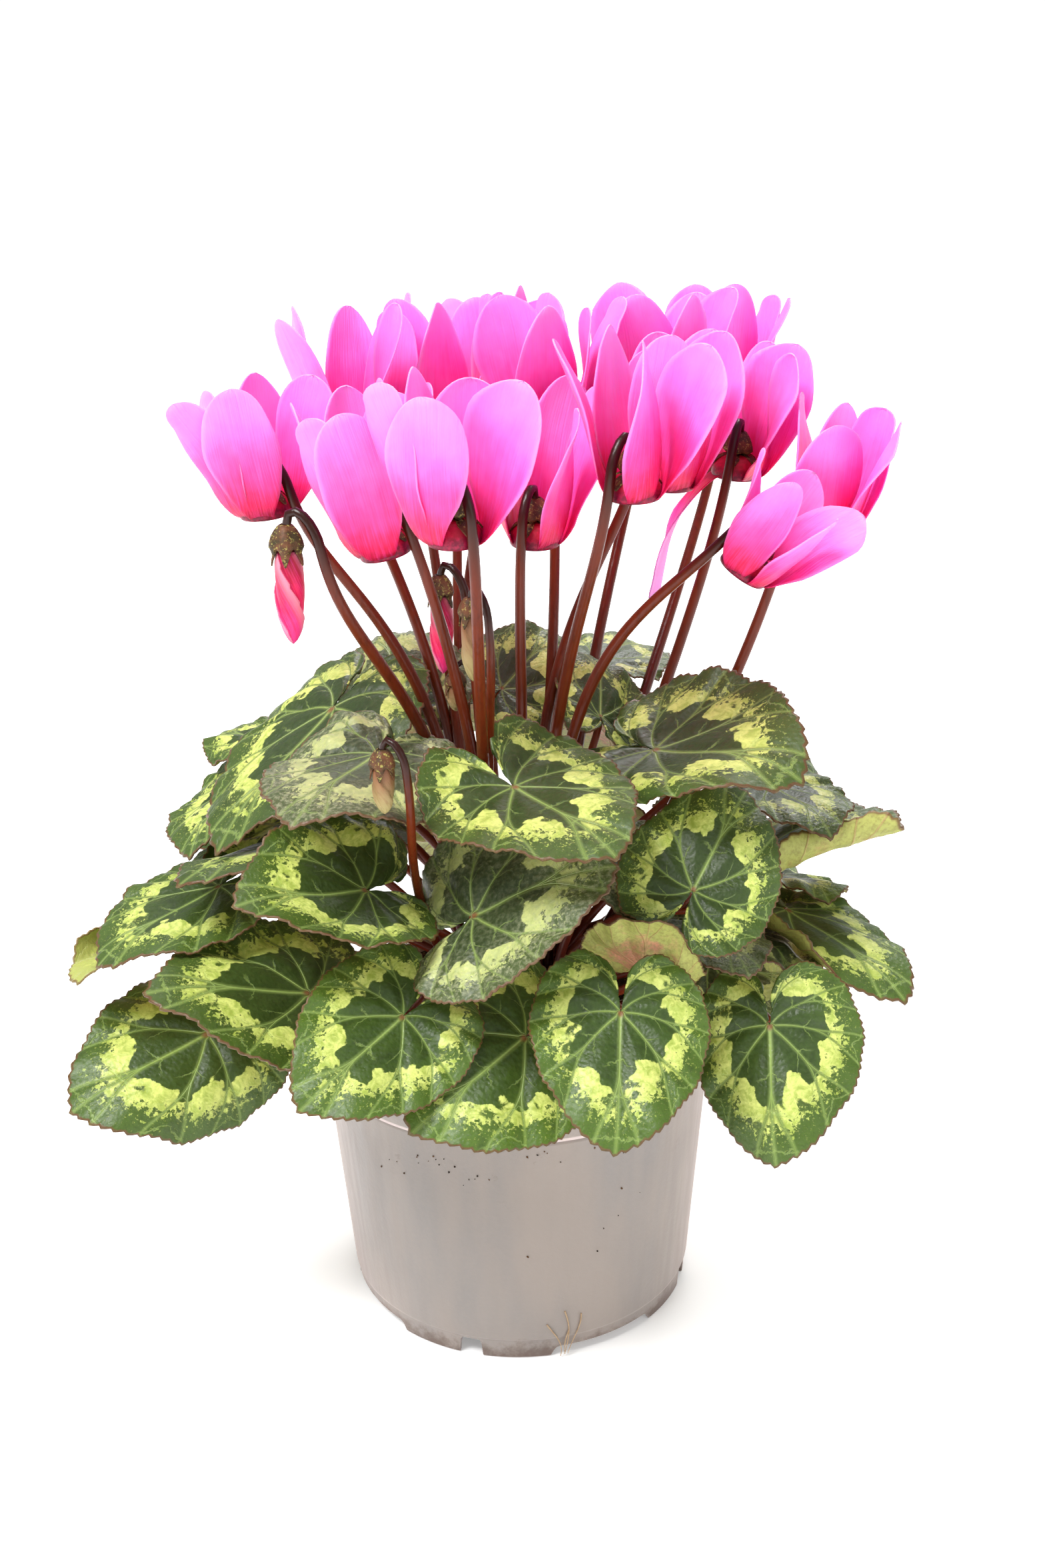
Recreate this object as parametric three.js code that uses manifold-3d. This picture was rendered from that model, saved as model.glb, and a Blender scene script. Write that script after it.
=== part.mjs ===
// Potted cyclamen: marbled heart-shaped leaves, reflexed pink flowers on red-brown stalks, thin nursery pot.
// Millimetres, +Z up. The origin is the middle of the pot's underside; the front of the plant faces -Y.
import * as THREE from "three";
import { mergeVertices } from "three/addons/utils/BufferGeometryUtils.js";
import Module from "manifold-3d";

const wasm = await Module();
wasm.setup();

// Pot and soil
const POT_HEIGHT = 83;
const POT_RIM_R = 60;
const POT_NECK_R = 56.2;
const POT_NECK_Z = 74.2;
const POT_SHOULDER_R = 50.6;
const POT_SHOULDER_Z = 6.7;
const POT_FOOT_R = 49.7;
const POT_WALL = 1.3;
const POT_FLOOR_TOP = 5;
const POT_FLOOR_UNDER = 3.6;
const POT_PAD_R = 20;
const ARCH_BEARINGS = [-152, -62, 28, 118];
const DRAIN_BEARINGS = [-107.5, -17.5, 72.5, 162.5];
const SOIL_TOP = 78.5;
const GAP = 0.3;

// Tuber, in a plain hole in the soil
const TUBER_R = 21;
const TUBER_TOP = 86;
const TUBER_BOTTOM = 66;

// Leaves
const BLADE_THICKNESS = 0.8;
const SLIT_ANGLE = 171;
const SECTORS = 8;
const RINGS = [0.38, 0.72, 1];
const TOOTH = 0.022;
// Between the middles of two blades that lie over each other, and how steeply a blade bends away
const CLEARANCE = 1.7;
const SETTLE_SLOPE = 0.5;
const REACH = 26;
// Leaf stalks, and the distance from a stalk's end to its blade's middle
const PETIOLE_R = 1.3;
const STALK_TO_BLADE = 1.8;

// Flowers
const PETAL_THICKNESS = 0.8;
const PETAL_ROWS = [0, 0.38, 0.76];
const PETAL_HALF_WIDTHS = [3.2, 6, 10];
const PETAL_TURNS = [56, 118, 180, -118, -56];
const PETAL_CLEARANCE = 1.7;
const STALK_FOOT_R = 2.2;
const STALK_TOP_R = 1.6;
const STALK_CLEARANCE = 0.8;
const HOOK_TOP = 15.5;
const CALYX_R = 3.6;

const rad = THREE.MathUtils.degToRad;
const vec = (a) => new THREE.Vector3(a[0], a[1], a[2]);
const UP = new THREE.Vector3(0, 0, 1);

function finish(color, roughness) {
  return new THREE.MeshStandardMaterial({ color, roughness, metalness: 0 });
}
const potFinish = finish(0xb0a5a4, 0.45);
const soilFinish = finish(0x3a2c22, 0.95);
const crownFinish = finish(0x7a3a24, 0.6);
const leafFinish = finish(0x4c7040, 0.6);
const petalFinish = finish(0xf25cc8, 0.5);

const group = new THREE.Group();

function add(name, geometry, material) {
  const mesh = new THREE.Mesh(geometry, material);
  mesh.name = name;
  group.add(mesh);
}

function geometryOf(points, triangles) {
  const flat = [];
  for (const p of points) flat.push(p.x, p.y, p.z);
  const g = new THREE.BufferGeometry();
  g.setAttribute("position", new THREE.Float32BufferAttribute(flat, 3));
  g.setIndex(triangles.flat());
  return g;
}

function toSolid(geometry) {
  let g = geometry.clone();
  g.deleteAttribute("normal");
  g.deleteAttribute("uv");
  g = mergeVertices(g, 1e-4);
  return new wasm.Manifold(new wasm.Mesh({
    numProp: 3,
    vertProperties: new Float32Array(g.attributes.position.array),
    triVerts: new Uint32Array(g.index.array),
  }));
}

function fromSolid(solid) {
  const m = solid.getMesh();
  const g = new THREE.BufferGeometry();
  g.setAttribute("position", new THREE.BufferAttribute(new Float32Array(m.vertProperties), 3));
  g.setIndex(new THREE.BufferAttribute(new Uint32Array(m.triVerts), 1));
  return g;
}

function join(geometries) {
  let solid = toSolid(geometries[0]);
  for (const g of geometries.slice(1)) solid = solid.add(toSolid(g));
  return fromSolid(solid);
}

// A closed solid round an open sheet: the same triangles on both faces, and a wall along its edge.
function thicken(points, triangles, thickness) {
  const normals = points.map(() => new THREE.Vector3());
  const count = points.length;
  const edges = new Map();
  for (const [a, b, c] of triangles) {
    const n = points[b].clone().sub(points[a]).cross(points[c].clone().sub(points[a]));
    for (const i of [a, b, c]) normals[i].add(n);
    for (const [i, j] of [[a, b], [b, c], [c, a]]) edges.set(`${i},${j}`, [i, j]);
  }
  const top = points.map((p, i) => p.clone().addScaledVector(normals[i].normalize(), thickness / 2));
  const bottom = points.map((p, i) => p.clone().addScaledVector(normals[i], -thickness / 2));
  const faces = [];
  for (const [a, b, c] of triangles) faces.push([a, b, c], [a + count, c + count, b + count]);
  for (const [i, j] of edges.values()) {
    if (edges.has(`${j},${i}`)) continue;
    faces.push([i, i + count, j + count], [i, j + count, j]);
  }
  return geometryOf([...top, ...bottom], faces);
}

// A closed round bar along points, with a radius at each point.
function bar(points, radii, sides) {
  const out = [];
  const faces = [];
  let side = null;
  points.forEach((p, i) => {
    const before = points[Math.max(i - 1, 0)];
    const after = points[Math.min(i + 1, points.length - 1)];
    const along = after.clone().sub(before).normalize();
    if (!side) {
      side = Math.abs(along.x) < 0.8 ? new THREE.Vector3(1, 0, 0) : new THREE.Vector3(0, 1, 0);
    }
    side = side.clone().addScaledVector(along, -side.dot(along)).normalize();
    const other = along.clone().cross(side);
    for (let k = 0; k < sides; k++) {
      const a = (2 * Math.PI * k) / sides;
      const q = p.clone().addScaledVector(side, radii[i] * Math.cos(a));
      out.push(q.addScaledVector(other, radii[i] * Math.sin(a)));
    }
  });
  for (let i = 0; i + 1 < points.length; i++) {
    for (let k = 0; k < sides; k++) {
      const a = i * sides + k;
      const b = i * sides + ((k + 1) % sides);
      faces.push([a, b, b + sides], [a, b + sides, a + sides]);
    }
  }
  const last = (points.length - 1) * sides;
  for (let k = 1; k + 1 < sides; k++) {
    faces.push([0, k + 1, k], [last, last + k, last + k + 1]);
  }
  return geometryOf(out, faces);
}

function turned(profile, sides) {
  const points = profile.map(([r, z]) => new THREE.Vector2(r, z));
  return new THREE.LatheGeometry(points, sides).rotateX(Math.PI / 2);
}

// Leaves.
// name, hub, tip, facing [bearing, height in degrees], bend {arch, back, cup, fold, wave, wide, curls}.
// The rows run from the lowest leaf to the one on top, with a leaf deep in the plant at the end.
const LEAVES = [
  ["leaf_back_low_a", [60, 30, 116], [92, 52, 96], [60, 40], {}],
  ["leaf_back_low_b", [34, 54, 122], [46, 76, 86], [150, 30], {}],
  ["leaf_back_low_c", [-6, 60, 122], [-8, 84, 86], [182, 30], {}],
  ["leaf_back_low_d", [-44, 46, 120], [-62, 66, 86], [-142, 30], {}],
  ["leaf_back_high_a", [65, 28, 152], [93, 47, 140], [70, 62], {}],
  ["leaf_back_high_b", [24, 54, 158], [38, 80, 126], [160, 35], {}],
  ["leaf_back_high_c", [-22, 52, 164], [-36, 78, 130], [-162, 35], {}],
  ["leaf_back_high_d", [-64, 32, 136], [-96, 50, 120], [-110, 50], {}],
  ["leaf_left_back", [-76, 17, 152], [-88, -14, 141], [-40, 30], {}],
  ["leaf_left_curl", [-70, 30, 156], [-89, 48, 154], [-60, 78], {}],
  ["leaf_left_yellow", [-98, -8, 112], [-117, -36, 115], [-60, 50], { curls: [[-90, 0.2, 5]] }],
  ["leaf_left_low", [-85, -30, 95], [-119, -52, 84], [-30, 30], { fold: -3, curls: [[90, 0.2, -14]] }],
  ["leaf_left_edge", [-81, -14, 132], [-111, -37, 119], [-60, 86], { back: 5 }],
  ["leaf_left_front", [-55, -42, 113], [-94, -59, 123], [-20, 62], { cup: 0 }],
  ["leaf_deep", [31, -22, 144], [31, -53, 137], [5, 45], {}],
  ["leaf_front_under", [2, -58, 107], [-27, -77, 91], [-10, 32], { wide: 1.1 }],
  ["leaf_front_left", [-29, -60, 115], [-54, -84, 102], [-8, 28], { wide: 0.95 }],
  ["leaf_front_right", [26, -70, 120], [23, -96, 95], [2, 26], { cup: -2 }],
  ["leaf_right_bright", [80, 16, 118], [89, -8, 120], [30, 35], {}],
  ["leaf_right_edge", [77, -11, 120], [103, -46, 108], [40, 45],
    { cup: -6, wide: 0.8, curls: [[-90, 0.2, 6]] }],
  ["leaf_right_curl", [74, 6, 132], [104, -28, 143], [35, 42], { curls: [[-40, 0.5, 6]] }],
  ["leaf_right_fold", [73, 2, 152], [85, -27, 148], [30, 55], {}],
  ["leaf_right_under", [66, -22, 118], [77, -46, 116], [35, 30], {}],
  ["leaf_right_low", [66, -53, 106], [66, -72, 75], [-22, 24], { fold: -9 }],
  ["leaf_front_dark", [50, -32, 124], [60, -57, 122], [25, 30], {}],
  ["leaf_front_flip", [33, -42, 124], [34, -60, 143], [180, 44], {}],
  ["leaf_right_round", [46, -48, 143], [62, -25, 161], [8, 50], {}],
  ["leaf_left_under", [-54, -10, 146], [-86, -42, 145], [-40, 112], {}],
  ["leaf_left_mid", [-39, -42, 141], [-69, -62, 148], [-15, 58], { cup: 5, wide: 1.05 }],
  ["leaf_front_mid", [-11, -52, 140], [26, -63, 157], [0, 56], { cup: 1 }],
  ["leaf_right_top", [39, -14, 169], [74, -47, 171], [10, 66], { arch: 5, cup: 7, curls: [[-90, 0.3, -8]] }],
  ["leaf_front_top", [1, -42, 170], [25, -76, 164], [8, 70], { back: -8 }],
  ["leaf_left_tall", [-49, 6, 176], [-78, -30, 149], [-50, 45], { cup: -8, wide: 0.85 }],
  ["leaf_left_top", [-35, -26, 174], [-53, -64, 170], [-15, 72], { fold: -4 }],
  ["leaf_back_left", [-29, 24, 172], [-37, 58, 182], [-30, 60], { wide: 0.9 }],
  ["leaf_back_mid", [-2, 30, 173], [15, 52, 183], [20, 58], {}],
  ["leaf_back_right", [27, 52, 175], [43, 79, 170], [10, 82], {}],
  ["leaf_mid_small", [26, 4, 175], [25, 29, 182], [25, 50], { curls: [[90, 0.3, 7]] }],
  ["leaf_right_deep", [56, -4, 101], [84, -4, 90], [30, 40], {}],
];

function outlineAt(angle) {
  const a = Math.abs(angle);
  const r = 0.575 + 0.425 * Math.exp(-((a / 0.75) ** 1.15));
  return r * (1 - 0.5 * (a / rad(SLIT_ANGLE)) ** 12);
}

// The blade's own frame: along the midrib, across it to the left, and out of its upper face.
function bladeFrame(row) {
  const hub = vec(row[1]);
  const along = vec(row[2]).sub(hub);
  const length = along.length();
  along.normalize();
  const [bearing, height] = row[3].map(rad);
  const out = new THREE.Vector3(
    Math.sin(bearing) * Math.cos(height), -Math.cos(bearing) * Math.cos(height), Math.sin(height));
  out.addScaledVector(along, -out.dot(along)).normalize();
  return { hub, length, along, across: out.clone().cross(along), out };
}

// A point of the blade in its own frame: angle round the hub from the midrib, reach from 0 to 1.
function bladeLocal(bend, length, angle, reach, tooth) {
  const r = outlineAt(angle) * reach * length * tooth;
  let u = r * Math.cos(angle);
  let v = r * Math.sin(angle) * (bend.wide ?? 1);
  const s = u / length;
  const side = v / (0.6 * length);
  let w = s > 0 ? 6.75 * (bend.arch ?? 2.5) * s * s * (1 - s) : -(bend.back ?? 1.5) * (s / 0.45) ** 2;
  w += (bend.cup ?? -1.5) * side * side + (bend.fold ?? 0) * Math.abs(side);
  w += (bend.wave ?? 0.9) * Math.sin(5 * angle + (bend.phase ?? 0)) * reach ** 3;
  for (const [degrees, start, radius] of bend.curls ?? []) {
    const ca = Math.cos(rad(degrees));
    const sa = Math.sin(rad(degrees));
    const past = u * ca + v * sa - start * length;
    if (past <= 0) continue;
    const R = Math.abs(radius);
    const shift = R * Math.sin(past / R) - past;
    u += ca * shift;
    v += sa * shift;
    w += Math.sign(radius) * R * (1 - Math.cos(past / R));
  }
  return [u, v, w];
}

function bladeSheet(row) {
  const frame = bladeFrame(row);
  const local = [[0, 0, 0]];
  const starts = [];
  RINGS.forEach((reach, ring) => {
    starts.push(local.length);
    const steps = ring === 2 ? 2 * SECTORS : SECTORS;
    for (let i = 0; i <= steps; i++) {
      const angle = rad(SLIT_ANGLE) * ((2 * i) / steps - 1);
      const tooth = ring < 2 ? 1 : i % 2 === 1 ? 1 - TOOTH : i === 0 || i === steps ? 1 : 1 + TOOTH;
      local.push(bladeLocal(row[4], frame.length, angle, reach, tooth));
    }
  });
  const triangles = [];
  const [one, two, three] = starts;
  for (let i = 0; i < SECTORS; i++) {
    triangles.push([0, one + i, one + i + 1]);
    triangles.push([one + i, two + i, two + i + 1], [one + i, two + i + 1, one + i + 1]);
    triangles.push([two + i, three + 2 * i, three + 2 * i + 1]);
    triangles.push([two + i, three + 2 * i + 1, two + i + 1]);
    triangles.push([two + i + 1, three + 2 * i + 1, three + 2 * i + 2]);
  }
  return { frame, local, triangles };
}

function inWorld(sheet, i) {
  const [u, v, w] = sheet.local[i];
  const f = sheet.frame;
  return f.hub.clone().addScaledVector(f.along, u).addScaledVector(f.across, v).addScaledVector(f.out, w);
}

// Blades never pass through each other: each new blade rides over or slips under the ones before it,
// whichever is the shorter way, and its shift fades out across the blade.
function samplesOf(sheet) {
  const found = [];
  const steps = 5;
  for (const t of sheet.triangles) {
    const [a, b, c] = t.map((i) => sheet.points[i]);
    for (let i = 0; i <= steps; i++) {
      for (let j = 0; i + j <= steps; j++) {
        const p = a.clone().multiplyScalar(1 - (i + j) / steps);
        found.push(p.addScaledVector(b, i / steps).addScaledVector(c, j / steps));
      }
    }
  }
  return found;
}

// Places where a point of another blade lies over or under this one: corners, their shares, its height.
function meetings(sheet, other) {
  const f = sheet.frame;
  const found = [];
  if (other.frame.hub.distanceTo(f.hub) > other.frame.length + f.length) return found;
  for (const p of other.samples) {
    const d = p.clone().sub(f.hub);
    const [x, y, z] = [d.dot(f.along), d.dot(f.across), d.dot(f.out)];
    if (Math.hypot(x, y) > f.length * 1.1 || Math.abs(z) > REACH) continue;
    for (const t of sheet.triangles) {
      const [[ax, ay], [bx, by], [cx, cy]] = t.map((i) => sheet.local[i]);
      const area = (bx - ax) * (cy - ay) - (cx - ax) * (by - ay);
      if (Math.abs(area) < 1e-6) continue;
      const kb = ((x - ax) * (cy - ay) - (cx - ax) * (y - ay)) / area;
      const kc = ((bx - ax) * (y - ay) - (x - ax) * (by - ay)) / area;
      const k = [1 - kb - kc, kb, kc];
      if (Math.min(...k) >= -0.08) found.push({ t, k, z });
    }
  }
  return found;
}

function settle(sheet, earlier) {
  const here = ({ t, k }) => t.reduce((sum, i, n) => sum + k[n] * sheet.local[i][2], 0);
  const groups = [];
  for (const other of earlier) {
    const found = meetings(sheet, other);
    if (!found.length) continue;
    const up = Math.max(...found.map((m) => m.z + CLEARANCE - here(m)));
    const down = Math.max(...found.map((m) => here(m) + CLEARANCE - m.z));
    groups.push({ found, way: up <= down ? 1 : -1 });
  }
  const shift = { 1: sheet.local.map(() => 0), [-1]: sheet.local.map(() => 0) };
  const moved = (m) => here(m) + m.t.reduce((sum, i, n) => sum + m.k[n] * (shift[1][i] - shift[-1][i]), 0);
  for (let round = 0; round < 12; round++) {
    for (const { found, way } of groups) {
      for (const m of found) {
        const short = CLEARANCE - way * (moved(m) - m.z);
        if (short > 0) for (const i of m.t) shift[way][i] += short;
      }
    }
    for (const field of [shift[1], shift[-1]]) {
      sheet.local.forEach(([x, y], i) => {
        sheet.local.forEach(([p, q], j) => {
          field[i] = Math.max(field[i], field[j] - SETTLE_SLOPE * Math.hypot(p - x, q - y));
        });
      });
    }
  }
  sheet.local.forEach((p, i) => { p[2] += shift[1][i] - shift[-1][i]; });
}

const sheets = [];
for (const row of LEAVES) {
  const sheet = bladeSheet(row);
  settle(sheet, sheets);
  sheet.points = sheet.local.map((p, i) => inWorld(sheet, i));
  sheet.samples = samplesOf(sheet);
  sheets.push(sheet);
  add(row[0], thicken(sheet.points, sheet.triangles, BLADE_THICKNESS), leafFinish);
}

// Flowers.
// name, mouth, lean [bearing, degrees], bearing of the stalk's gap, petal length, spread, stalk {foot, by},
// and changes to single petals {number: {turn, length, spread, twist, falls}}. Bearings run from the front.
const BLOOMS = [
  ["bloom_far_left", [-62, -4, 233], [-90, 5], 60, 33, 10, [-9, 2], [-36, 2, 195], {}],
  ["bloom_upper_left", [-42, 46, 238], [-140, 4], 0, 41, 13, [-8, 10], [-24, 22, 190], {}],
  ["bloom_left_front", [-30, -21, 226], [-85, 12], 60, 40, 9, [-6, -5], [-15, -8, 188], {}],
  ["bloom_left_mid", [-26, 16, 226], [-60, 6], 150, 36, 6, [-7, 3], [-15, 4, 182], {}],
  ["bloom_front", [-12, -48, 235], [0, 4], 30, 38, 8, [-2, -9], [-5, -20, 180], {}],
  ["bloom_centre", [8, 4, 222], [20, 4], -25, 40, 14, [1, 0], [5, -2, 180], {}],
  ["bloom_mid_right", [32, -30, 241], [-20, 3], -45, 38, 10, [5, -8], [16, -12, 186], {}],
  ["bloom_right_in", [45, 16, 234], [40, 4], -100, 40, 10, [7, -2], [24, 4, 186], {}],
  ["bloom_right_high", [65, 34, 233], [60, 6], -20, 36, 10, [8, 4], [40, 14, 188], { 4: { falls: true } }],
  ["bloom_low_right", [60, -21, 219], [80, 34], -90, 28, 9, [9, -3], [40, -6, 196], {}],
  ["bloom_far_right", [85, 6, 223], [50, 8], -75, 33, 9, [10, 0], [46, 2, 186], {}],
  ["bloom_back_a", [-15, 62, 239], [180, 6], 170, 41, 10, [-4, 11], [-8, 34, 186], {}],
  ["bloom_back_b", [1, 88, 238], [180, 8], -170, 40, 10, [-1, 13], [0, 50, 190], {}],
  ["bloom_back_c", [14, 36, 244], [150, 4], 175, 37, 9, [2, 10], [9, 26, 190], {}],
  ["bloom_back_e", [46, 60, 245], [130, 5], -160, 36, 10, [6, 9], [26, 30, 192], {}],
  ["bloom_back_f", [68, 90, 241], [130, 8], 170, 37, 10, [7, 11], [36, 44, 192], {}],
];

// name, calyx mouth, lean, bearing of the stalk, bud length and radius, stalk foot and bend, own node or not
const BUDS = [
  ["bud_left", [-54, -30, 223], [0, 0], 70, 24, 4.4, [-8, 5], [-38, 2, 190], true],
  ["bud_centre", [-17, -16, 208], [0, 0], 60, 21, 3.6, [-5, -6], [-10, -12, 170], true],
  ["bud_behind", [-9, -31, 207], [0, 0], 40, 18, 3.2, [-3, -7], [-5, -15, 170], false],
  ["bud_green", [-31, -58, 177], [0, 0], 60, 13, 3.2, [-7, -9], [-22, -30, 160], false],
  ["bud_small", [-14, -14, 184], [0, 0], 80, 8, 2.8, [-6, -4], [-9, -8, 160], false],
];

function flowerFrame([, mouth, [leanBearing, lean], gap]) {
  const facing = (b) => new THREE.Vector3(Math.sin(rad(b)), -Math.cos(rad(b)), 0);
  const axis = UP.clone().multiplyScalar(Math.cos(rad(lean)));
  axis.addScaledVector(facing(leanBearing), Math.sin(rad(lean)));
  const side = facing(gap);
  side.addScaledVector(axis, -side.dot(axis)).normalize();
  const other = axis.clone().cross(side);
  const origin = vec(mouth);
  // r out from the axis at an angle from the stalk's side, h above the mouth
  const at = (r, turn, h) => origin.clone().addScaledVector(axis, h)
    .addScaledVector(side, r * Math.cos(rad(turn))).addScaledVector(other, r * Math.sin(rad(turn)));
  return { origin, axis, side, other, at };
}

function bezier(points, t) {
  let row = points.map((p) => p.clone());
  while (row.length > 1) row = row.slice(1).map((p, i) => row[i].clone().lerp(p, t));
  return row[0];
}

// One petal as a sheet: it leaves the mouth outwards and sweeps back up past the cup, a little twisted.
function petalSheet(frame, turn, length, spread, twist, falls) {
  const heel = falls ? [[5, 1.2], [10, -2], [17, -6], [21, -length]] :
    [[4.6, 1.2], [8.4, -3], [7.2 + spread * 0.15, length * 0.45], [6 + spread, length]];
  const line = heel.map(([r, h]) => new THREE.Vector3(r, 0, h));
  const radial = frame.at(1, turn, 0).sub(frame.origin);
  const around = frame.axis.clone().cross(radial);
  const place = (p) => frame.at(0, 0, p.z).addScaledVector(radial, p.x).addScaledVector(around, p.y);
  const points = [];
  PETAL_ROWS.forEach((t, i) => {
    const p = bezier(line, t);
    const along = bezier(line, t + 0.01).sub(p).normalize();
    const across = new THREE.Vector3(0, 1, 0).applyAxisAngle(along, rad(twist) * t ** 1.1);
    const out = along.clone().cross(across);
    const w = PETAL_HALF_WIDTHS[i] * Math.min(1, length / 36);
    for (const k of [-1, 0, 1]) {
      const dip = k === 0 ? -0.1 * w : 0;
      points.push(place(p.clone().addScaledVector(across, k * w).addScaledVector(out, dip)));
    }
  });
  points.push(place(bezier(line, 1)));
  const triangles = [];
  for (let i = 0; i < 2; i++) {
    for (let k = 0; k < 2; k++) {
      const a = 3 * i + k;
      triangles.push([a, a + 3, a + 4], [a, a + 4, a + 1]);
    }
  }
  triangles.push([6, 9, 7], [7, 9, 8]);
  return { points, triangles };
}

function cup(frame) {
  const g = turned([[0, 2.2], [6.8, 0], [6.3, 3.2], [4.2, 6.2], [0, 6.2]], 8);
  const m = new THREE.Matrix4().makeBasis(frame.side, frame.other, frame.axis).setPosition(frame.origin);
  return g.applyMatrix4(m);
}

// The stalk rises beside the mouth, passes between two petals and hooks over to hang the flower.
function hookOf(frame, size) {
  const hook = [[10.8, -13], [10, 0], [8.2, 9], [5, 14.5], [1.4, HOOK_TOP], [0, 11]];
  return hook.map(([r, h]) => frame.at(r * size, 0, h * size));
}

function stalkPath(frame, foot, by, size) {
  const tail = hookOf(frame, size);
  const start = new THREE.Vector3(foot[0], foot[1], TUBER_TOP - 6);
  const steps = 5;
  const points = [];
  for (let i = 0; i < steps; i++) points.push(bezier([start, by, tail[0]], i / steps));
  return [...points, ...tail];
}

function calyx(frame, size) {
  const rows = [[12, 1.3], [9.8, CALYX_R], [6.7, 3.4]];
  return bar(rows.map(([h]) => frame.at(0, 0, h * size)), rows.map(([, r]) => r * size), 5);
}

// Points on the blades, petals and hooks, kept in small cubes of space, for each next part to find its way.
const CELL = 5;
const cells = new Map();
const cellOf = (p) => [p.x, p.y, p.z].map((v) => Math.floor(v / CELL) + 500);
function remember(points, owner, r) {
  for (const p of points) {
    const [x, y, z] = cellOf(p);
    const key = (x * 1000 + y) * 1000 + z;
    if (!cells.has(key)) cells.set(key, []);
    cells.get(key).push([p, owner, r]);
  }
}

// How much the points of a part, r thick, come too near to those kept of other parts.
function crowding(points, r, owner) {
  let sum = 0;
  for (const p of points) {
    const [x, y, z] = cellOf(p);
    let worst = 0;
    for (let n = 0; n < 27; n++) {
      const [i, j, k] = [x - 1 + (n % 3), y - 1 + (Math.floor(n / 3) % 3), z - 1 + Math.floor(n / 9)];
      for (const [q, who, size] of cells.get((i * 1000 + j) * 1000 + k) ?? []) {
        if (who !== owner) worst = Math.max(worst, r + size - p.distanceTo(q));
      }
    }
    sum += worst;
  }
  return sum;
}

function alongPath(path) {
  const points = [];
  for (let i = 0; i + 1 < path.length; i++) {
    const steps = Math.ceil(path[i].distanceTo(path[i + 1]) / 1.5);
    for (let k = 0; k < steps; k++) points.push(path[i].clone().lerp(path[i + 1], k / steps));
  }
  return points;
}

function acrossSheet({ points, triangles }, n) {
  const found = [];
  for (const [a, b, c] of triangles) {
    for (let i = 0; i <= n; i++) {
      for (let j = 0; i + j <= n; j++) {
        const k = n - i - j;
        found.push(points[a].clone().multiplyScalar(i / n).addScaledVector(points[b], j / n)
          .addScaledVector(points[c], k / n));
      }
    }
  }
  return found;
}

// The first free form of those offered, or the least crowded one.
function choose(options, make, score) {
  let best = null;
  for (const option of options) {
    const made = make(option);
    const crowded = score(made);
    if (!best || crowded < best.crowded - 1e-6) best = { made, crowded };
    if (crowded === 0) break;
  }
  return best.made;
}

// The crown is one growth: the tuber with every stalk, calyx and closed bud on it.
const crown = [turned([
  [0, TUBER_BOTTOM], [14, TUBER_BOTTOM + 0.6], [TUBER_R - 1, 72], [TUBER_R, 77],
  [TUBER_R - 3, 83], [11, TUBER_TOP], [0, TUBER_TOP + 0.6],
], 12)];

// What a petal may try where others are in its way: wider, swung round the flower, twisted.
const POSES = [];
for (const wider of [0, -3, 3, -6, 6, -9]) {
  for (const swing of [0, 8, -8, 16, -16, 24, -24]) {
    for (const twist of [0, -30, 30]) POSES.push([wider, swing, twist]);
  }
}
POSES.sort((a, b) => {
  const cost = ([w, s, t]) => Math.abs(w) / 3 + Math.abs(s) / 8 + Math.abs(t) / 30;
  return cost(a) - cost(b);
});
const stems = new Map();
sheets.forEach((sheet, n) => remember(acrossSheet(sheet, 8), n, BLADE_THICKNESS / 2));
const budSize = (r) => r / 4.6 + 0.1;

function rememberStem(name, frame, size) {
  stems.set(name, frame);
  remember(alongPath(hookOf(frame, size)), "stem " + name, STALK_FOOT_R * size);
  remember([7, 9, 11].map((h) => frame.at(0, 0, h * size)), "stem " + name, CALYX_R * size);
}
for (const row of BLOOMS) rememberStem(row[0], flowerFrame(row), 1);
for (const [name, mouth, lean, side, length, r] of BUDS) {
  const frame = flowerFrame([name, mouth, lean, side]);
  rememberStem(name, frame, budSize(r));
  remember([0, 0.2, 0.4, 0.6, 0.8, 1].map((k) => frame.at(0, 0, -k * length)), "stem " + name, r);
}
BLOOMS.forEach(([name, , , , length, spread, , , changes], n) => {
  const frame = stems.get(name);
  const own = PETAL_TURNS.map((turn, i) => {
    const c = { turn: 0, length: 0, spread: 0, twist: 0, falls: false, ...changes[i] };
    const long = length + 1.6 * Math.sin(2.4 * n + 1.9 * i) + c.length;
    const wide = spread + 2.5 * Math.cos(1.7 * n + 2.3 * i) + c.spread;
    const twist = 52 + 16 * Math.sin(n + i) + c.twist;
    const make = ([w, s, t]) => petalSheet(frame, turn + c.turn + s, long, wide + w, twist + t, c.falls);
    const found = choose(POSES, make, (m) => crowding(acrossSheet(m, 5), PETAL_CLEARANCE, name));
    return found;
  });
  for (const sheet of own) remember(acrossSheet(sheet, 6), name, 0);
  const solids = own.map((p) => thicken(p.points, p.triangles, PETAL_THICKNESS));
  add(name, join([cup(frame), ...solids]), petalFinish);
});

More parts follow.
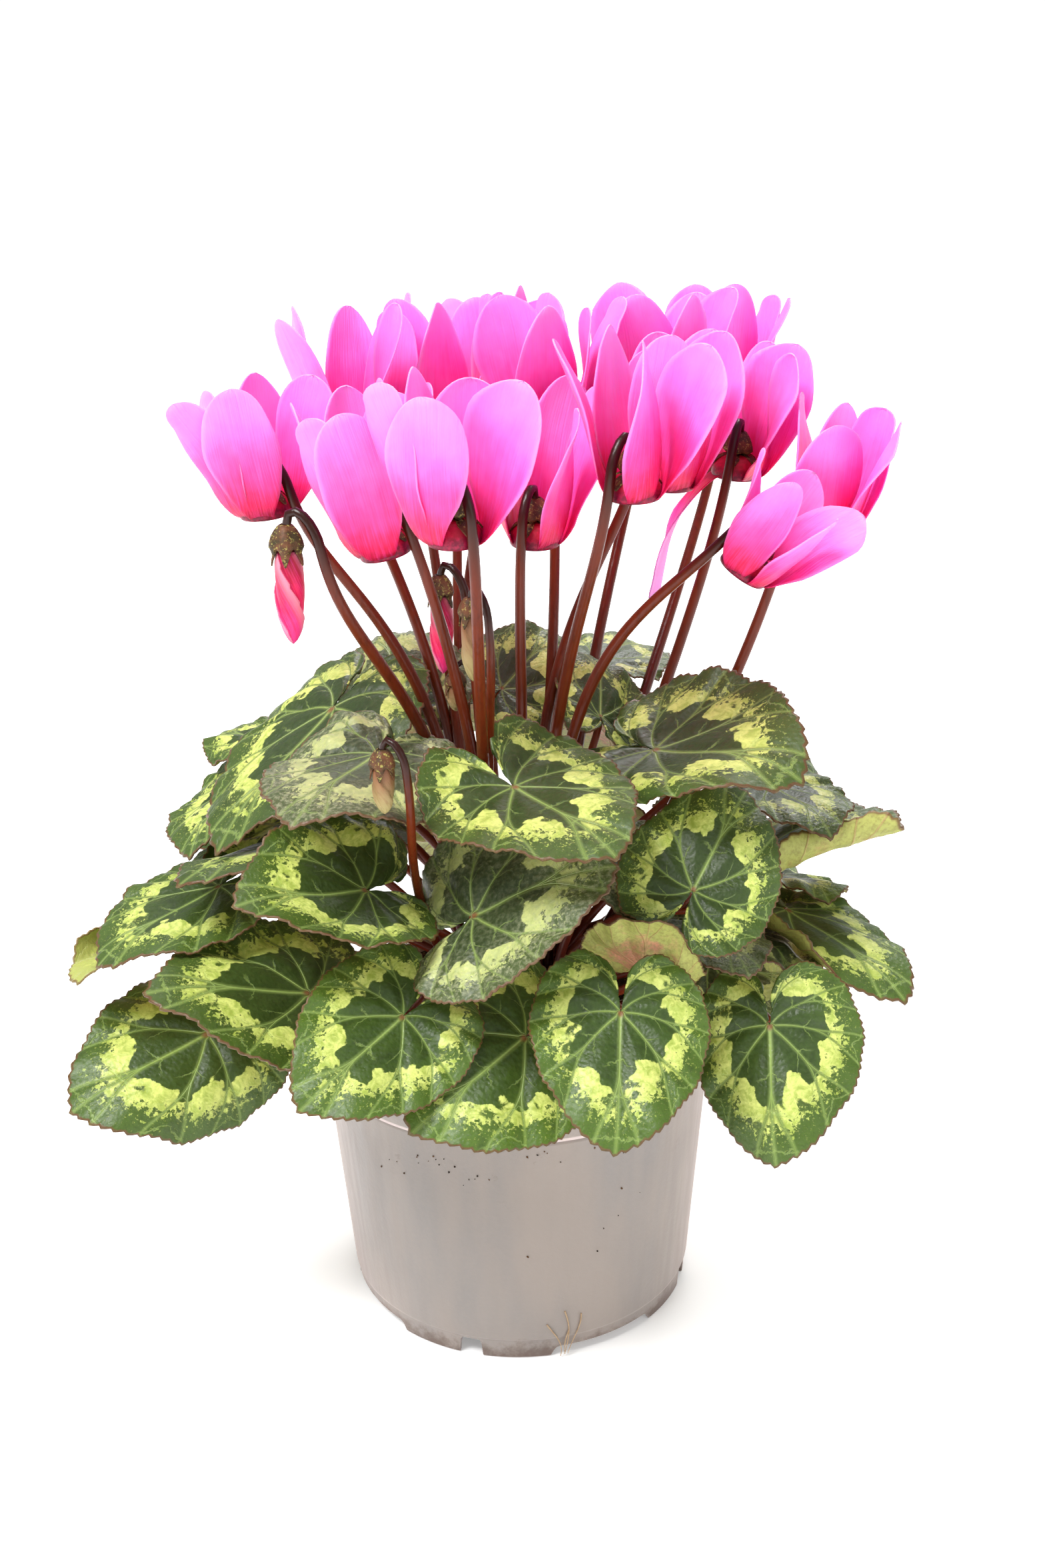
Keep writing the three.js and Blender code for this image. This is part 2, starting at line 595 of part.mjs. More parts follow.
// A flower stalk keeps its hook and bends a little aside where a blade or a petal is in its way.
const ASIDE = [];
for (const d of [0, 5, 10, 16, 22, 30, 38]) {
  for (const dz of [0, -25, 18]) {
    for (let k = 0; k < (d ? 12 : 1); k++) {
      ASIDE.push([d * Math.cos(k * Math.PI / 6), d * Math.sin(k * Math.PI / 6), dz]);
    }
  }
}
function stalk(name, frame, foot, by, size) {
  const make = ([x, y, z]) => stalkPath(frame, foot, vec(by).add(vec([x, y, z])), size);
  const room = STALK_FOOT_R * size + STALK_CLEARANCE;
  const path = choose(ASIDE, make, (p) => crowding(alongPath(p), room, "stem " + name));
  const last = path.length - 1;
  const radii = path.map((p, i) => THREE.MathUtils.lerp(STALK_FOOT_R, STALK_TOP_R, i / last) * size);
  return bar(path, radii, 4);
}
for (const [name, , , , , , foot, by] of BLOOMS) {
  crown.push(stalk(name, stems.get(name), foot, by, 1), calyx(stems.get(name), 1));
}

function budBody(frame, length, r, size, top) {
  const rows = [[0, 0.75], [0.2, 1], [0.6, 0.88], [1, 0.15]];
  return bar(rows.map(([t]) => frame.at(0, 0, top * size - t * length)), rows.map(([, k]) => r * k), 6);
}

for (const [name, , , , length, r, foot, by, own] of BUDS) {
  const size = budSize(r);
  const frame = stems.get(name);
  crown.push(stalk(name, frame, foot, by, size), calyx(frame, size));
  if (own) add(name, budBody(frame, length, r, size, 6.3), petalFinish);
  else crown.push(budBody(frame, length, r, size, 7.6));
}

// Leaf stalks start on the tuber, rise, and come up to each blade's hub from behind and below.
// What a stalk may try: its start swung round the tuber, how far it rises first, how far below it bends.
const WAYS = [];
for (const swing of [0, 15, -15, 30, -30, 50, -50, 75, -75, 100, -100]) {
  const shapes = [[0.6, 11], [0.95, 8], [0.3, 14], [1.2, 14], [0.8, 20], [0.1, 20], [0.5, 5], [1.3, 5]];
  for (const [lift, under] of shapes) WAYS.push([swing, lift, under]);
}
sheets.forEach((sheet, n) => {
  const f = sheet.frame;
  const hub = sheet.points[0];
  const round = acrossSheet(sheet, 8).filter((p) => p.distanceTo(hub) < 3);
  const seat = Math.min(...round.map((p) => p.sub(hub).dot(f.out))) - STALK_TO_BLADE;
  const make = ([swing, lift, under]) => {
    const bearing = Math.atan2(hub.y, hub.x) + rad(swing);
    const start = new THREE.Vector3(Math.cos(bearing), Math.sin(bearing), 0);
    start.multiplyScalar(7 + (n % 4) * 2.5).setZ(TUBER_TOP - 5);
    const lifted = start.clone().addScaledVector(UP, Math.max(14, lift * (hub.z - start.z)));
    const below = hub.clone().addScaledVector(f.out, -under).addScaledVector(f.along, -9);
    const end = hub.clone().addScaledVector(f.out, seat).addScaledVector(f.along, -0.5);
    return [0, 1, 2, 3, 4, 5].map((i) => bezier([start, lifted, below, end], i / 5));
  };
  const room = PETIOLE_R + STALK_CLEARANCE;
  const path = choose(WAYS, make, (way) => {
    const points = alongPath(way);
    const near = points.filter((p) => p.distanceTo(hub) < 6);
    const far = points.filter((p) => p.distanceTo(hub) >= 6);
    return crowding(near, room, n) + crowding(far, room, -1);
  });
  crown.push(bar(path, path.map(() => PETIOLE_R * 1.15), 3));
});
add("crown", join(crown), crownFinish);

// Pot and soil.
const potWall = turned([
  [0, 0], [POT_PAD_R, 0], [POT_PAD_R + 1, POT_FLOOR_UNDER], [POT_FOOT_R - POT_WALL, POT_FLOOR_UNDER],
  [POT_FOOT_R - POT_WALL, 0], [POT_FOOT_R, 0], [POT_FOOT_R + 0.4, POT_SHOULDER_Z - 0.5],
  [POT_SHOULDER_R, POT_SHOULDER_Z], [POT_NECK_R, POT_NECK_Z], [POT_NECK_R + 1, POT_NECK_Z + 0.6],
  [POT_RIM_R, POT_HEIGHT - 0.6], [POT_RIM_R - 0.5, POT_HEIGHT], [POT_RIM_R - POT_WALL, POT_HEIGHT - 0.4],
  [POT_NECK_R - 0.4, POT_NECK_Z], [POT_SHOULDER_R - POT_WALL, POT_FLOOR_TOP], [0, POT_FLOOR_TOP],
], 32);

function cutter(outline, bearing, from, to) {
  const g = new THREE.ExtrudeGeometry(new THREE.Shape(outline.map(([x, y]) => new THREE.Vector2(x, y))),
    { depth: to - from, bevelEnabled: false });
  return g.translate(0, 0, from).rotateX(Math.PI / 2).rotateZ(rad(bearing));
}
let potSolid = toSolid(potWall);
for (const b of ARCH_BEARINGS) {
  potSolid = potSolid.subtract(toSolid(cutter([[-17, -1], [17, -1], [14.5, 3.2], [-14.5, 3.2]], b, 40, 56)));
}
for (const b of DRAIN_BEARINGS) {
  potSolid = potSolid.subtract(toSolid(cutter([[-3.6, -1], [3.6, -1], [3, 5.8], [-3, 5.8]], b, 42, 56)));
}
add("pot", fromSolid(potSolid), potFinish);

const soilBottom = POT_FLOOR_TOP + GAP;
add("soil", turned([
  [0, soilBottom], [POT_SHOULDER_R - POT_WALL - 1, soilBottom], [POT_NECK_R - 1.5, POT_NECK_Z],
  [POT_NECK_R - 0.4, SOIL_TOP], [TUBER_R + 1, SOIL_TOP + 1], [TUBER_R + 1, TUBER_BOTTOM - 0.4],
  [0, TUBER_BOTTOM - 0.4],
], 24), soilFinish);

export default group;
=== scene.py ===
# Potted cyclamen: fine leaves, flowers, stalks, soil and pot, with their finishes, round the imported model.
# Rows and shapes are in millimetres, +Z up, with the front of the plant towards -Y.
import math
import random

import bmesh
import bpy
import numpy as np
from mathutils import Matrix, Vector, kdtree, noise


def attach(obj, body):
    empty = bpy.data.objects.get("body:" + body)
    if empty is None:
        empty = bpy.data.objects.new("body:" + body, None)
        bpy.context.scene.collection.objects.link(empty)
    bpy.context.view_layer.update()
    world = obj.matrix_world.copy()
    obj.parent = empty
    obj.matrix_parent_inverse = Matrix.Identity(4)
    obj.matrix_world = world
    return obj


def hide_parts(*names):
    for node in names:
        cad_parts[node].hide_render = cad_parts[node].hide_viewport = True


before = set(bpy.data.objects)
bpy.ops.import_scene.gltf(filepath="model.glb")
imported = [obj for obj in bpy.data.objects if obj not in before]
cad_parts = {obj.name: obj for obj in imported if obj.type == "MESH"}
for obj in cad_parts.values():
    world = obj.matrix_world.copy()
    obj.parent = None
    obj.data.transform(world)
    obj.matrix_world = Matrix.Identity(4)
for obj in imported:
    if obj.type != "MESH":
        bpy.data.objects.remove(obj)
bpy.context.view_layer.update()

bl_info = {
    "name": "Potted Cyclamen",
    "version": (1, 0, 0),
    "blender": (4, 5, 0),
    "location": "View3D > Sidebar > Cyclamen",
    "description": "Builds a potted cyclamen with marbled leaves and reflexed pink flowers",
    "category": "Add Mesh",
}

MM = 0.001

# The camera: place, aim and lens of the view that the plant is seen from
CAMERA_BACK = 467.7
CAMERA_HEIGHT = 333.6
CAMERA_DOWN = 0.365
CAMERA_YAW = 0.007
CAMERA_ROLL = -0.021
CAMERA_LENS = 41.33

# Studio lights: name, place, height that they aim at, width and power, in metres and watts
LIGHTS = (
    ("key", (-0.7, -0.6, 1.6), 0.15, 0.7, 40.0),
    ("fill", (1.2, -1.2, 0.8), 0.15, 1.2, 6.0),
    ("back", (0.3, 1.2, 1.3), 0.18, 0.9, 22.0),
)
WHITE = (1.0, 1.0, 1.0, 1.0)

# Pot and soil
POT_HEIGHT = 83.0
POT_RIM_R = 60.0
POT_NECK_R = 56.2
POT_NECK_Z = 74.2
POT_SHOULDER_R = 50.6
POT_SHOULDER_Z = 6.7
POT_FOOT_R = 49.7
POT_WALL = 1.3
POT_FLOOR_TOP = 5.0
POT_FLOOR_UNDER = 3.6
POT_PAD_R = 20.0
ARCH_BEARINGS = (-152, -62, 28, 118)
DRAIN_BEARINGS = (-107.5, -17.5, 72.5, 162.5)
SOIL_TOP = 78.5
ARCH = ((-17, -1), (17, -1), (15.6, 1.9), (14.9, 2.8), (14.0, 3.2), (-14.0, 3.2), (-14.9, 2.8), (-15.6, 1.9))
DRAIN = ((-3.6, -1), (3.6, -1), (3.1, 4.8), (2.7, 5.5), (2.0, 5.8), (-2.0, 5.8), (-2.7, 5.5), (-3.1, 4.8))
SHARP_ANGLE = math.radians(38)

# Specks of soil on the pot: bearing, height, spread and number
SPECKS = ((-26, 66, 3.0, 9), (-13, 62, 4.0, 6), (8, 70, 4.0, 7), (30, 68, 5.0, 6), (-45, 60, 6.0, 4),
          (20, 40, 18.0, 6), (120, 60, 30.0, 10), (200, 50, 40.0, 12), (-120, 64, 20.0, 7))

# Roots that hang out at the foot: bearing, top, fall and drift
ROOTS = ((9, 12, 11.5, 3), (12.5, 16, 15, -2), (16, 14, 13, 2.5), (14, 9, 8, 1))

# Tuber
TUBER_R = 21.0
TUBER_PROFILE = ((0, 65.8), (8, 66), (14, 66.7), (17.5, 68.6), (20, 72), (21, 75), (20.8, 78), (19.4, 81),
                 (17, 83.4), (14, 85), (10.5, 86.2), (6, 86.7), (0, 86.8))

# Leaves
SLIT_ANGLE = math.radians(171)
VEINS = 7
VEIN_BEND = 0.35
VEIN_FORK = 0.42
FORK_WIDTH = 0.25
RING_REACHES = (0.0, 0.38, 0.72, 1.0)
SECTORS = 8
PETIOLE_R = 1.3
PETIOLE_FOOT_Z = 81.0

# Flowers
SOLID_PETAL_HALF = 0.4
SOLID_PETAL_NET = ((0.38, -1, 6), (0.38, 1, 6), (0.76, -1, 10), (0.76, 0, 10), (0.76, 1, 10), (1, 0, 0))
PETAL_TURNS = (56, 118, 180, -118, -56)
STALK_FOOT_Z = 80.0
STALK_FOOT_R = 2.2
STALK_TOP_R = 1.6
HOOK = ((10.8, -13), (10, 0), (8.2, 9), (5, 14.5), (1.4, 15.5), (0, 11))
CUP_PROFILE = ((0, 3.8), (2.6, 2.9), (4.4, 1.3), (5.4, 0.2), (6.2, -0.3), (6.8, 0.4), (6.7, 1.8), (6.2, 3.4),
               (4.9, 5.2), (3.2, 6.1), (0, 6.3))
CALYX_DOME = ((1.2, 12.5), (1.8, 12.1), (2.6, 11.1), (3.3, 9.9), (3.75, 8.6), (3.95, 7.5))
PINK_BUD_TOP = 6.3
GREEN_BUD_TOP = 7.6
BUD_WIDTHS = ((0, 0.1, 0.25, 0.45, 0.7, 0.86, 0.95, 1), (0.62, 0.74, 0.8, 0.84, 0.74, 0.52, 0.3, 0.04))

# name, hub, tip, facing [bearing, height], bend, tone from dark grey-green (0) to bright yellow-green (1)
LEAVES = (
    ("leaf_back_low_a", (60, 30, 116), (92, 52, 96), (60, 40), {}, 0.4),
    ("leaf_back_low_b", (34, 54, 122), (46, 76, 86), (150, 30), {}, 0.5),
    ("leaf_back_low_c", (-6, 60, 122), (-8, 84, 86), (182, 30), {}, 0.6),
    ("leaf_back_low_d", (-44, 46, 120), (-62, 66, 86), (-142, 30), {}, 0.4),
    ("leaf_back_high_a", (65, 28, 152), (93, 47, 140), (70, 62), {}, 0.3),
    ("leaf_back_high_b", (24, 54, 158), (38, 80, 126), (160, 35), {}, 0.2),
    ("leaf_back_high_c", (-22, 52, 164), (-36, 78, 130), (-162, 35), {}, 0.3),
    ("leaf_back_high_d", (-64, 32, 136), (-96, 50, 120), (-110, 50), {}, 0.4),
    ("leaf_left_back", (-76, 17, 152), (-88, -14, 141), (-40, 30), {}, 0.45),
    ("leaf_left_curl", (-70, 30, 156), (-89, 48, 154), (-60, 78), {}, 0.5),
    ("leaf_left_yellow", (-98, -8, 112), (-117, -36, 115), (-60, 50), {"curls": ((-90, 0.2, 5),)}, 0.9),
    ("leaf_left_low", (-85, -30, 95), (-119, -52, 84), (-30, 30),
     {"fold": -3, "curls": ((90, 0.2, -14),)}, 0.6),
    ("leaf_left_edge", (-81, -14, 132), (-111, -37, 119), (-60, 86), {"back": 5}, 0.5),
    ("leaf_left_front", (-55, -42, 113), (-94, -59, 123), (-20, 62), {"cup": 0}, 0.45),
    ("leaf_deep", (31, -22, 144), (31, -53, 137), (5, 45), {}, 0.1),
    ("leaf_front_under", (2, -58, 107), (-27, -77, 91), (-10, 32), {"wide": 1.1}, 0.85),
    ("leaf_front_left", (-29, -60, 115), (-54, -84, 102), (-8, 28), {"wide": 0.95}, 0.75),
    ("leaf_front_right", (26, -70, 120), (23, -96, 95), (2, 26), {"cup": -2}, 0.75),
    ("leaf_right_bright", (80, 16, 118), (89, -8, 120), (30, 35), {}, 0.8),
    ("leaf_right_edge", (77, -11, 120), (103, -46, 108), (40, 45),
     {"cup": -6, "wide": 0.8, "curls": ((-90, 0.2, 6),)}, 0.6),
    ("leaf_right_curl", (74, 6, 132), (104, -28, 143), (35, 42), {"curls": ((-40, 0.5, 6),)}, 0.5),
    ("leaf_right_fold", (73, 2, 152), (85, -27, 148), (30, 55), {}, 0.3),
    ("leaf_right_under", (66, -22, 118), (77, -46, 116), (35, 30), {}, 0.2),
    ("leaf_right_low", (66, -53, 106), (66, -72, 75), (-22, 24), {"fold": -9}, 0.65),
    ("leaf_front_dark", (50, -32, 124), (60, -57, 122), (25, 30), {}, 0.2),
    ("leaf_front_flip", (33, -42, 124), (34, -60, 143), (180, 44), {}, 0.6),
    ("leaf_right_round", (46, -48, 143), (62, -25, 161), (8, 50), {}, 0.4),
    ("leaf_left_under", (-54, -10, 146), (-86, -42, 145), (-40, 112), {}, 0.3),
    ("leaf_left_mid", (-39, -42, 141), (-69, -62, 148), (-15, 58), {"cup": 5, "wide": 1.05}, 0.5),
    ("leaf_front_mid", (-11, -52, 140), (26, -63, 157), (0, 56), {"cup": 1}, 0.18),
    ("leaf_right_top", (39, -14, 169), (74, -47, 171), (10, 66),
     {"arch": 5, "cup": 7, "curls": ((-90, 0.3, -8),)}, 0.38),
    ("leaf_front_top", (1, -42, 170), (25, -76, 164), (8, 70), {"back": -8}, 0.45),
    ("leaf_left_tall", (-49, 6, 176), (-78, -30, 149), (-50, 45), {"cup": -8, "wide": 0.85}, 0.4),
    ("leaf_left_top", (-35, -26, 174), (-53, -64, 170), (-15, 72), {"fold": -4}, 0.15),
    ("leaf_back_left", (-29, 24, 172), (-37, 58, 182), (-30, 60), {"wide": 0.9}, 0.2),
    ("leaf_back_mid", (-2, 30, 173), (15, 52, 183), (20, 58), {}, 0.3),
    ("leaf_back_right", (27, 52, 175), (43, 79, 170), (10, 82), {}, 0.5),
    ("leaf_mid_small", (26, 4, 175), (25, 29, 182), (25, 50), {"curls": ((90, 0.3, 7),)}, 0.35),
    ("leaf_right_deep", (56, -4, 101), (84, -4, 90), (30, 40), {}, 0.2),
)

# name, mouth, lean [bearing, degrees], bearing of the stalk's gap, petal length, spread, stalk foot and bend,
# and the petals that hang down. Bearings run from the front.
BLOOMS = (
    ("bloom_far_left", (-62, -4, 233), (-90, 5), 60, 33, 10, (-9, 2), (-36, 2, 195), ()),
    ("bloom_upper_left", (-42, 46, 238), (-140, 4), 0, 41, 13, (-8, 10), (-24, 22, 190), ()),
    ("bloom_left_front", (-30, -21, 226), (-85, 12), 60, 40, 9, (-6, -5), (-15, -8, 188), ()),
    ("bloom_left_mid", (-26, 16, 226), (-60, 6), 150, 36, 6, (-7, 3), (-15, 4, 182), ()),
    ("bloom_front", (-12, -48, 235), (0, 4), 30, 38, 8, (-2, -9), (-5, -20, 180), ()),
    ("bloom_centre", (8, 4, 222), (20, 4), -25, 40, 14, (1, 0), (5, -2, 180), ()),
    ("bloom_mid_right", (32, -30, 241), (-20, 3), -45, 38, 10, (5, -8), (16, -12, 186), ()),
    ("bloom_right_in", (45, 16, 234), (40, 4), -100, 40, 10, (7, -2), (24, 4, 186), ()),
    ("bloom_right_high", (65, 34, 233), (60, 6), -20, 36, 10, (8, 4), (40, 14, 188), (4,)),
    ("bloom_low_right", (60, -21, 219), (80, 34), -90, 28, 9, (9, -3), (40, -6, 196), ()),
    ("bloom_far_right", (85, 6, 223), (50, 8), -75, 33, 9, (10, 0), (46, 2, 186), ()),
    ("bloom_back_a", (-15, 62, 239), (180, 6), 170, 41, 10, (-4, 11), (-8, 34, 186), ()),
    ("bloom_back_b", (1, 88, 238), (180, 8), -170, 40, 10, (-1, 13), (0, 50, 190), ()),
    ("bloom_back_c", (14, 36, 244), (150, 4), 175, 37, 9, (2, 10), (9, 26, 190), ()),
    ("bloom_back_e", (46, 60, 245), (130, 5), -160, 36, 10, (6, 9), (26, 30, 192), ()),
    ("bloom_back_f", (68, 90, 241), (130, 8), 170, 37, 10, (7, 11), (36, 44, 192), ()),
)

# name, calyx mouth, lean, bearing of the stalk, bud length and radius, stalk foot and bend, own node or not
BUDS = (
    ("bud_left", (-54, -30, 223), (0, 0), 70, 24, 4.4, (-8, 5), (-38, 2, 190), True),
    ("bud_centre", (-17, -16, 208), (0, 0), 60, 21, 3.6, (-5, -6), (-10, -12, 170), True),
    ("bud_behind", (-9, -31, 207), (0, 0), 40, 18, 3.2, (-3, -7), (-5, -15, 170), False),
    ("bud_green", (-31, -58, 177), (0, 0), 60, 13, 3.2, (-7, -9), (-22, -30, 160), False),
    ("bud_small", (-14, -14, 184), (0, 0), 80, 8, 2.8, (-6, -4), (-9, -8, 160), False),
)

# How far a form may be off its solid, in all, before it counts as not found
WORST_FIT = 30

# What a petal, a flower stalk and a leaf stalk may have done to keep clear: the solids show which it was.
PETAL_TRIES = [(w, s, t) for w in (0, -3, 3, -6, 6, -9) for s in (0, 8, -8, 16, -16, 24, -24)
               for t in (0, -30, 30)]
STALK_TRIES = [(d * math.cos(k * math.pi / 6), d * math.sin(k * math.pi / 6), dz)
               for d in (0, 5, 10, 16, 22, 30, 38) for dz in (0, -25, 18) for k in range(12 if d else 1)]
PETIOLE_TRIES = [(swing, lift, under) for swing in (0, 15, -15, 30, -30, 50, -50, 75, -75, 100, -100)
                 for lift, under in ((0.6, 11), (0.95, 8), (0.3, 14), (1.2, 14), (0.8, 20), (0.1, 20),
                                     (0.5, 5), (1.3, 5))]


def vec(*a):
    return np.array(a, float)


def unit(a):
    return a / np.linalg.norm(a)


def bezier(points, t):
    """Points of a Bezier curve at each t of an array."""
    row = [np.asarray(p, float)[None, :] for p in points]
    t = np.atleast_1d(t)[:, None]
    while len(row) > 1:
        row = [a + (b - a) * t for a, b in zip(row, row[1:])]
    return row[0]


def smooth_path(points, steps):
    """A smooth curve through all the points."""
    p = np.vstack([2 * points[0] - points[1], points, 2 * points[-1] - points[-2]])
    out = []
    for i in range(1, len(p) - 2):
        a, b, c, d = p[i - 1:i + 3]
        for k in range(steps):
            t = k / steps
            out.append(0.5 * (2 * b + (c - a) * t + (2 * a - 5 * b + 4 * c - d) * t * t
                              + (3 * b - a - 3 * c + d) * t ** 3))
    out.append(points[-1])
    return np.array(out)


def smoothstep(a, b, x):
    t = np.clip((x - a) / (b - a), 0, 1)
    return t * t * (3 - 2 * t)


def turns(steps):
    """Angles once round, in radians."""
    return np.arange(steps) * 2 * math.pi / steps


def grid(rows, columns, closed=False, start=0):
    """The faces of a net of points, row after row, whose rows may each close to a ring."""
    faces = []
    for r in range(start, start + (rows - 1) * columns, columns):
        for c in range(columns if closed else columns - 1):
            a, b = r + c, r + (c + 1) % columns
            faces.append((a, a + columns, b + columns, b))
    return faces


def maps_of(*values):
    """The map values of each corner: two for the shape map and two for the flat map."""
    return np.stack(np.broadcast_arrays(*values), 1)


def solid_points(name):
    """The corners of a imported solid, in millimetres."""
    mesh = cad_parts[name].data
    flat = np.empty(3 * len(mesh.vertices))
    mesh.vertices.foreach_get("co", flat)
    return np.unique(np.round(flat.reshape(-1, 3) / MM, 4), axis=0)


def tree_of(name):
    points = solid_points(name)
    tree = kdtree.KDTree(len(points))
    for i, p in enumerate(points):
        tree.insert(p, i)
    tree.balance()
    return tree


def misfit(tree, points, radii, count):
    """How far the nearest corners of a solid are from lying round these points at these radii."""
    return sum(abs(d - r) for p, r in zip(points, radii) for _, _, d in tree.find_n(p, count))


def best_of(what, tries, made):
    """What the best try makes. made gives how badly a try fits the solid, and what it makes."""
    score, result = min(map(made, tries), key=lambda found: found[0])
    if score > WORST_FIT:
        raise RuntimeError("%s isn't found in its solid" % what)
    return result


class Shape:
    """Corners, faces, material numbers and map values gathered for one object."""

    def __init__(self):
        self.corners, self.faces, self.slots, self.maps, self.tones = [], [], [], [], []
        self.count = 0

    def add(self, corners, faces, slots, maps, tone=0.0):
        self.corners.append(corners)
        self.faces += [tuple(i + self.count for i in f) for f in faces]
        self.slots += slots
        self.maps.append(maps)
        self.tones += [tone] * len(corners)
        self.count += len(corners)

    def add_sheet(self, points, faces, thickness, maps, tone=0.0, under=0):
        """Adds an open sheet as a closed thin solid. under is the material number of its lower side."""
        n = len(points)
        normals = np.zeros((n, 3))
        edges = {}
        for face in faces:
            p = points[list(face)]
            normal = np.cross(p[1] - p[0], p[2] - p[0])
            if len(face) == 4:
                normal = normal + np.cross(p[2] - p[0], p[3] - p[0])
            for i, j in zip(face, face[1:] + face[:1]):
                normals[i] += normal
                edges[i, j] = True
        length = np.linalg.norm(normals, axis=1, keepdims=True)
        normals *= thickness / 2 / np.where(length > 0, length, 1)
        rim = [(i, i + n, j + n, j) for i, j in edges if (j, i) not in edges]
        back = [tuple(i + n for i in reversed(f)) for f in faces]
        slots = [0] * len(faces) + [under] * len(faces) + [0] * len(rim)
        self.add(np.vstack([points + normals, points - normals]), faces + back + rim, slots,
                 np.vstack([maps, maps]), tone)

    def object(self, name, *materials):
        mesh = bpy.data.meshes.new(name)
        mesh.from_pydata((np.vstack(self.corners) * MM).tolist(), [], self.faces)
        for material in materials:
            mesh.materials.append(material)
        mesh.polygons.foreach_set("material_index", self.slots)
        mesh.polygons.foreach_set("use_smooth", [True] * len(self.faces))
        loops = np.empty(len(mesh.loops), int)
        mesh.loops.foreach_get("vertex_index", loops)
        maps = np.vstack(self.maps)
        for k, layer in enumerate(("shape", "flat")):
            uv = mesh.uv_layers.new(name=layer)
            uv.data.foreach_set("uv", maps[loops, 2 * k:2 * k + 2].ravel())
        tone = mesh.attributes.new("tone", "FLOAT", "POINT")
        tone.data.foreach_set("value", self.tones)
        mesh.validate()
        return placed(name, mesh)


def placed(name, data):
    """A new object in the scene."""
    obj = bpy.data.objects.new(name, data)
    bpy.context.scene.collection.objects.link(obj)
    return obj


def evaluated_mesh(obj):
    """A plain mesh of the object with its modifiers worked out."""
    graph = bpy.context.evaluated_depsgraph_get()
    graph.update()
    return bpy.data.meshes.new_from_object(obj.evaluated_get(graph))


def merged(obj):
    """Joins the doubled corners at the poles of turned bodies, and turns the faces outwards."""
    bm = bmesh.new()
    bm.from_mesh(obj.data)
    bmesh.ops.remove_doubles(bm, verts=bm.verts, dist=0.00001)
    bmesh.ops.dissolve_degenerate(bm, edges=bm.edges, dist=0.000001)
    bmesh.ops.recalc_face_normals(bm, faces=bm.faces)
    bm.to_mesh(obj.data)
    bm.free()
    return obj


def piece(obj, slot, *nodes):
    """Hangs a finished object on the root part, so that it moves with it, and hides the nodes that it stands
    for.
    """
    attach(obj, "root")
    if nodes:
        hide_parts(*nodes)


# Leaves

def outline_at(angle):
    a = np.abs(angle)
    return (0.575 + 0.425 * np.exp(-((a / 0.75) ** 1.15))) * (1 - 0.5 * (a / SLIT_ANGLE) ** 12)


def blade_frame(hub, tip, facing):
    hub, tip = vec(*hub), vec(*tip)
    length = np.linalg.norm(tip - hub)
    along = (tip - hub) / length
    b, h = map(math.radians, facing)
    out = vec(math.sin(b) * math.cos(h), -math.cos(b) * math.cos(h), math.sin(h))
    out = unit(out - along * (out @ along))
    return hub, length, along, np.cross(out, along), out


def blade_local(bend, length, angle, reach, tooth=1.0):
    """A blade in its own frame: along the midrib, across it and out of its upper face."""
    r = outline_at(angle) * reach * length * tooth
    u = r * np.cos(angle)
    v = r * np.sin(angle) * bend.get("wide", 1)
    s = u / length
    side = v / (0.6 * length)
    arch = 6.75 * bend.get("arch", 2.5) * s * s * (1 - s)
    w = np.where(s > 0, arch, -bend.get("back", 1.5) * (s / 0.45) ** 2)
    w = w + bend.get("cup", -1.5) * side ** 2 + bend.get("fold", 0) * np.abs(side)
    w = w + bend.get("wave", 0.9) * np.sin(5 * angle) * reach ** 3
    for degrees, start, radius in bend.get("curls", ()):
        ca, sa = math.cos(math.radians(degrees)), math.sin(math.radians(degrees))
        past = np.maximum(u * ca + v * sa - start * length, 0)
        big = abs(radius)
        shift = big * np.sin(past / big) - past
        u, v = u + ca * shift, v + sa * shift
        w = w + math.copysign(big, radius) * (1 - np.cos(past / big))
    return u, v, w


def settled_shift(name, bend, blade):
    """How far the solid blade was lifted or lowered at the rings of its net, read from its corners."""
    hub, length, along, across, out = blade
    local = (solid_points(name) - hub) @ np.array([along, across, out]).T
    rings = []
    for ring, reach in enumerate(RING_REACHES):
        steps = (1, SECTORS, SECTORS, 2 * SECTORS)[ring]
        row = []
        for i in range(steps + 1):
            angle = SLIT_ANGLE * (2 * i / steps - 1)
            u, v, w = blade_local(bend, length, angle, reach)
            order = np.argsort((local[:, 0] - u) ** 2 + (local[:, 1] - v) ** 2)[:2]
            row.append(local[order, 2].mean() - w)
        rings.append(np.interp(np.linspace(0, 1, 2 * SECTORS + 1), np.linspace(0, 1, steps + 1), row))
    rings[0][:] = rings[0].mean()
    return np.array(rings)


def shift_at(rings, angle, reach):
    """The shift between the rings, eased in both ways so that the fine blade has no folds."""
    column = (angle / SLIT_ANGLE + 1) * SECTORS
    rows = []
    for ring in rings:
        low = np.clip(np.floor(column).astype(int), 0, 2 * SECTORS - 1)
        t = smoothstep(0, 1, column - low)
        rows.append(ring[low] * (1 - t) + ring[low + 1] * t)
    rows = np.array(rows)
    out = np.zeros_like(angle)
    for k, (a, b) in enumerate(zip(RING_REACHES, RING_REACHES[1:])):
        t = smoothstep(a, b, reach)
        inside = (reach >= a) & (reach <= b)
        out = np.where(inside, rows[k] * (1 - t) + rows[k + 1] * t, out)
    return out


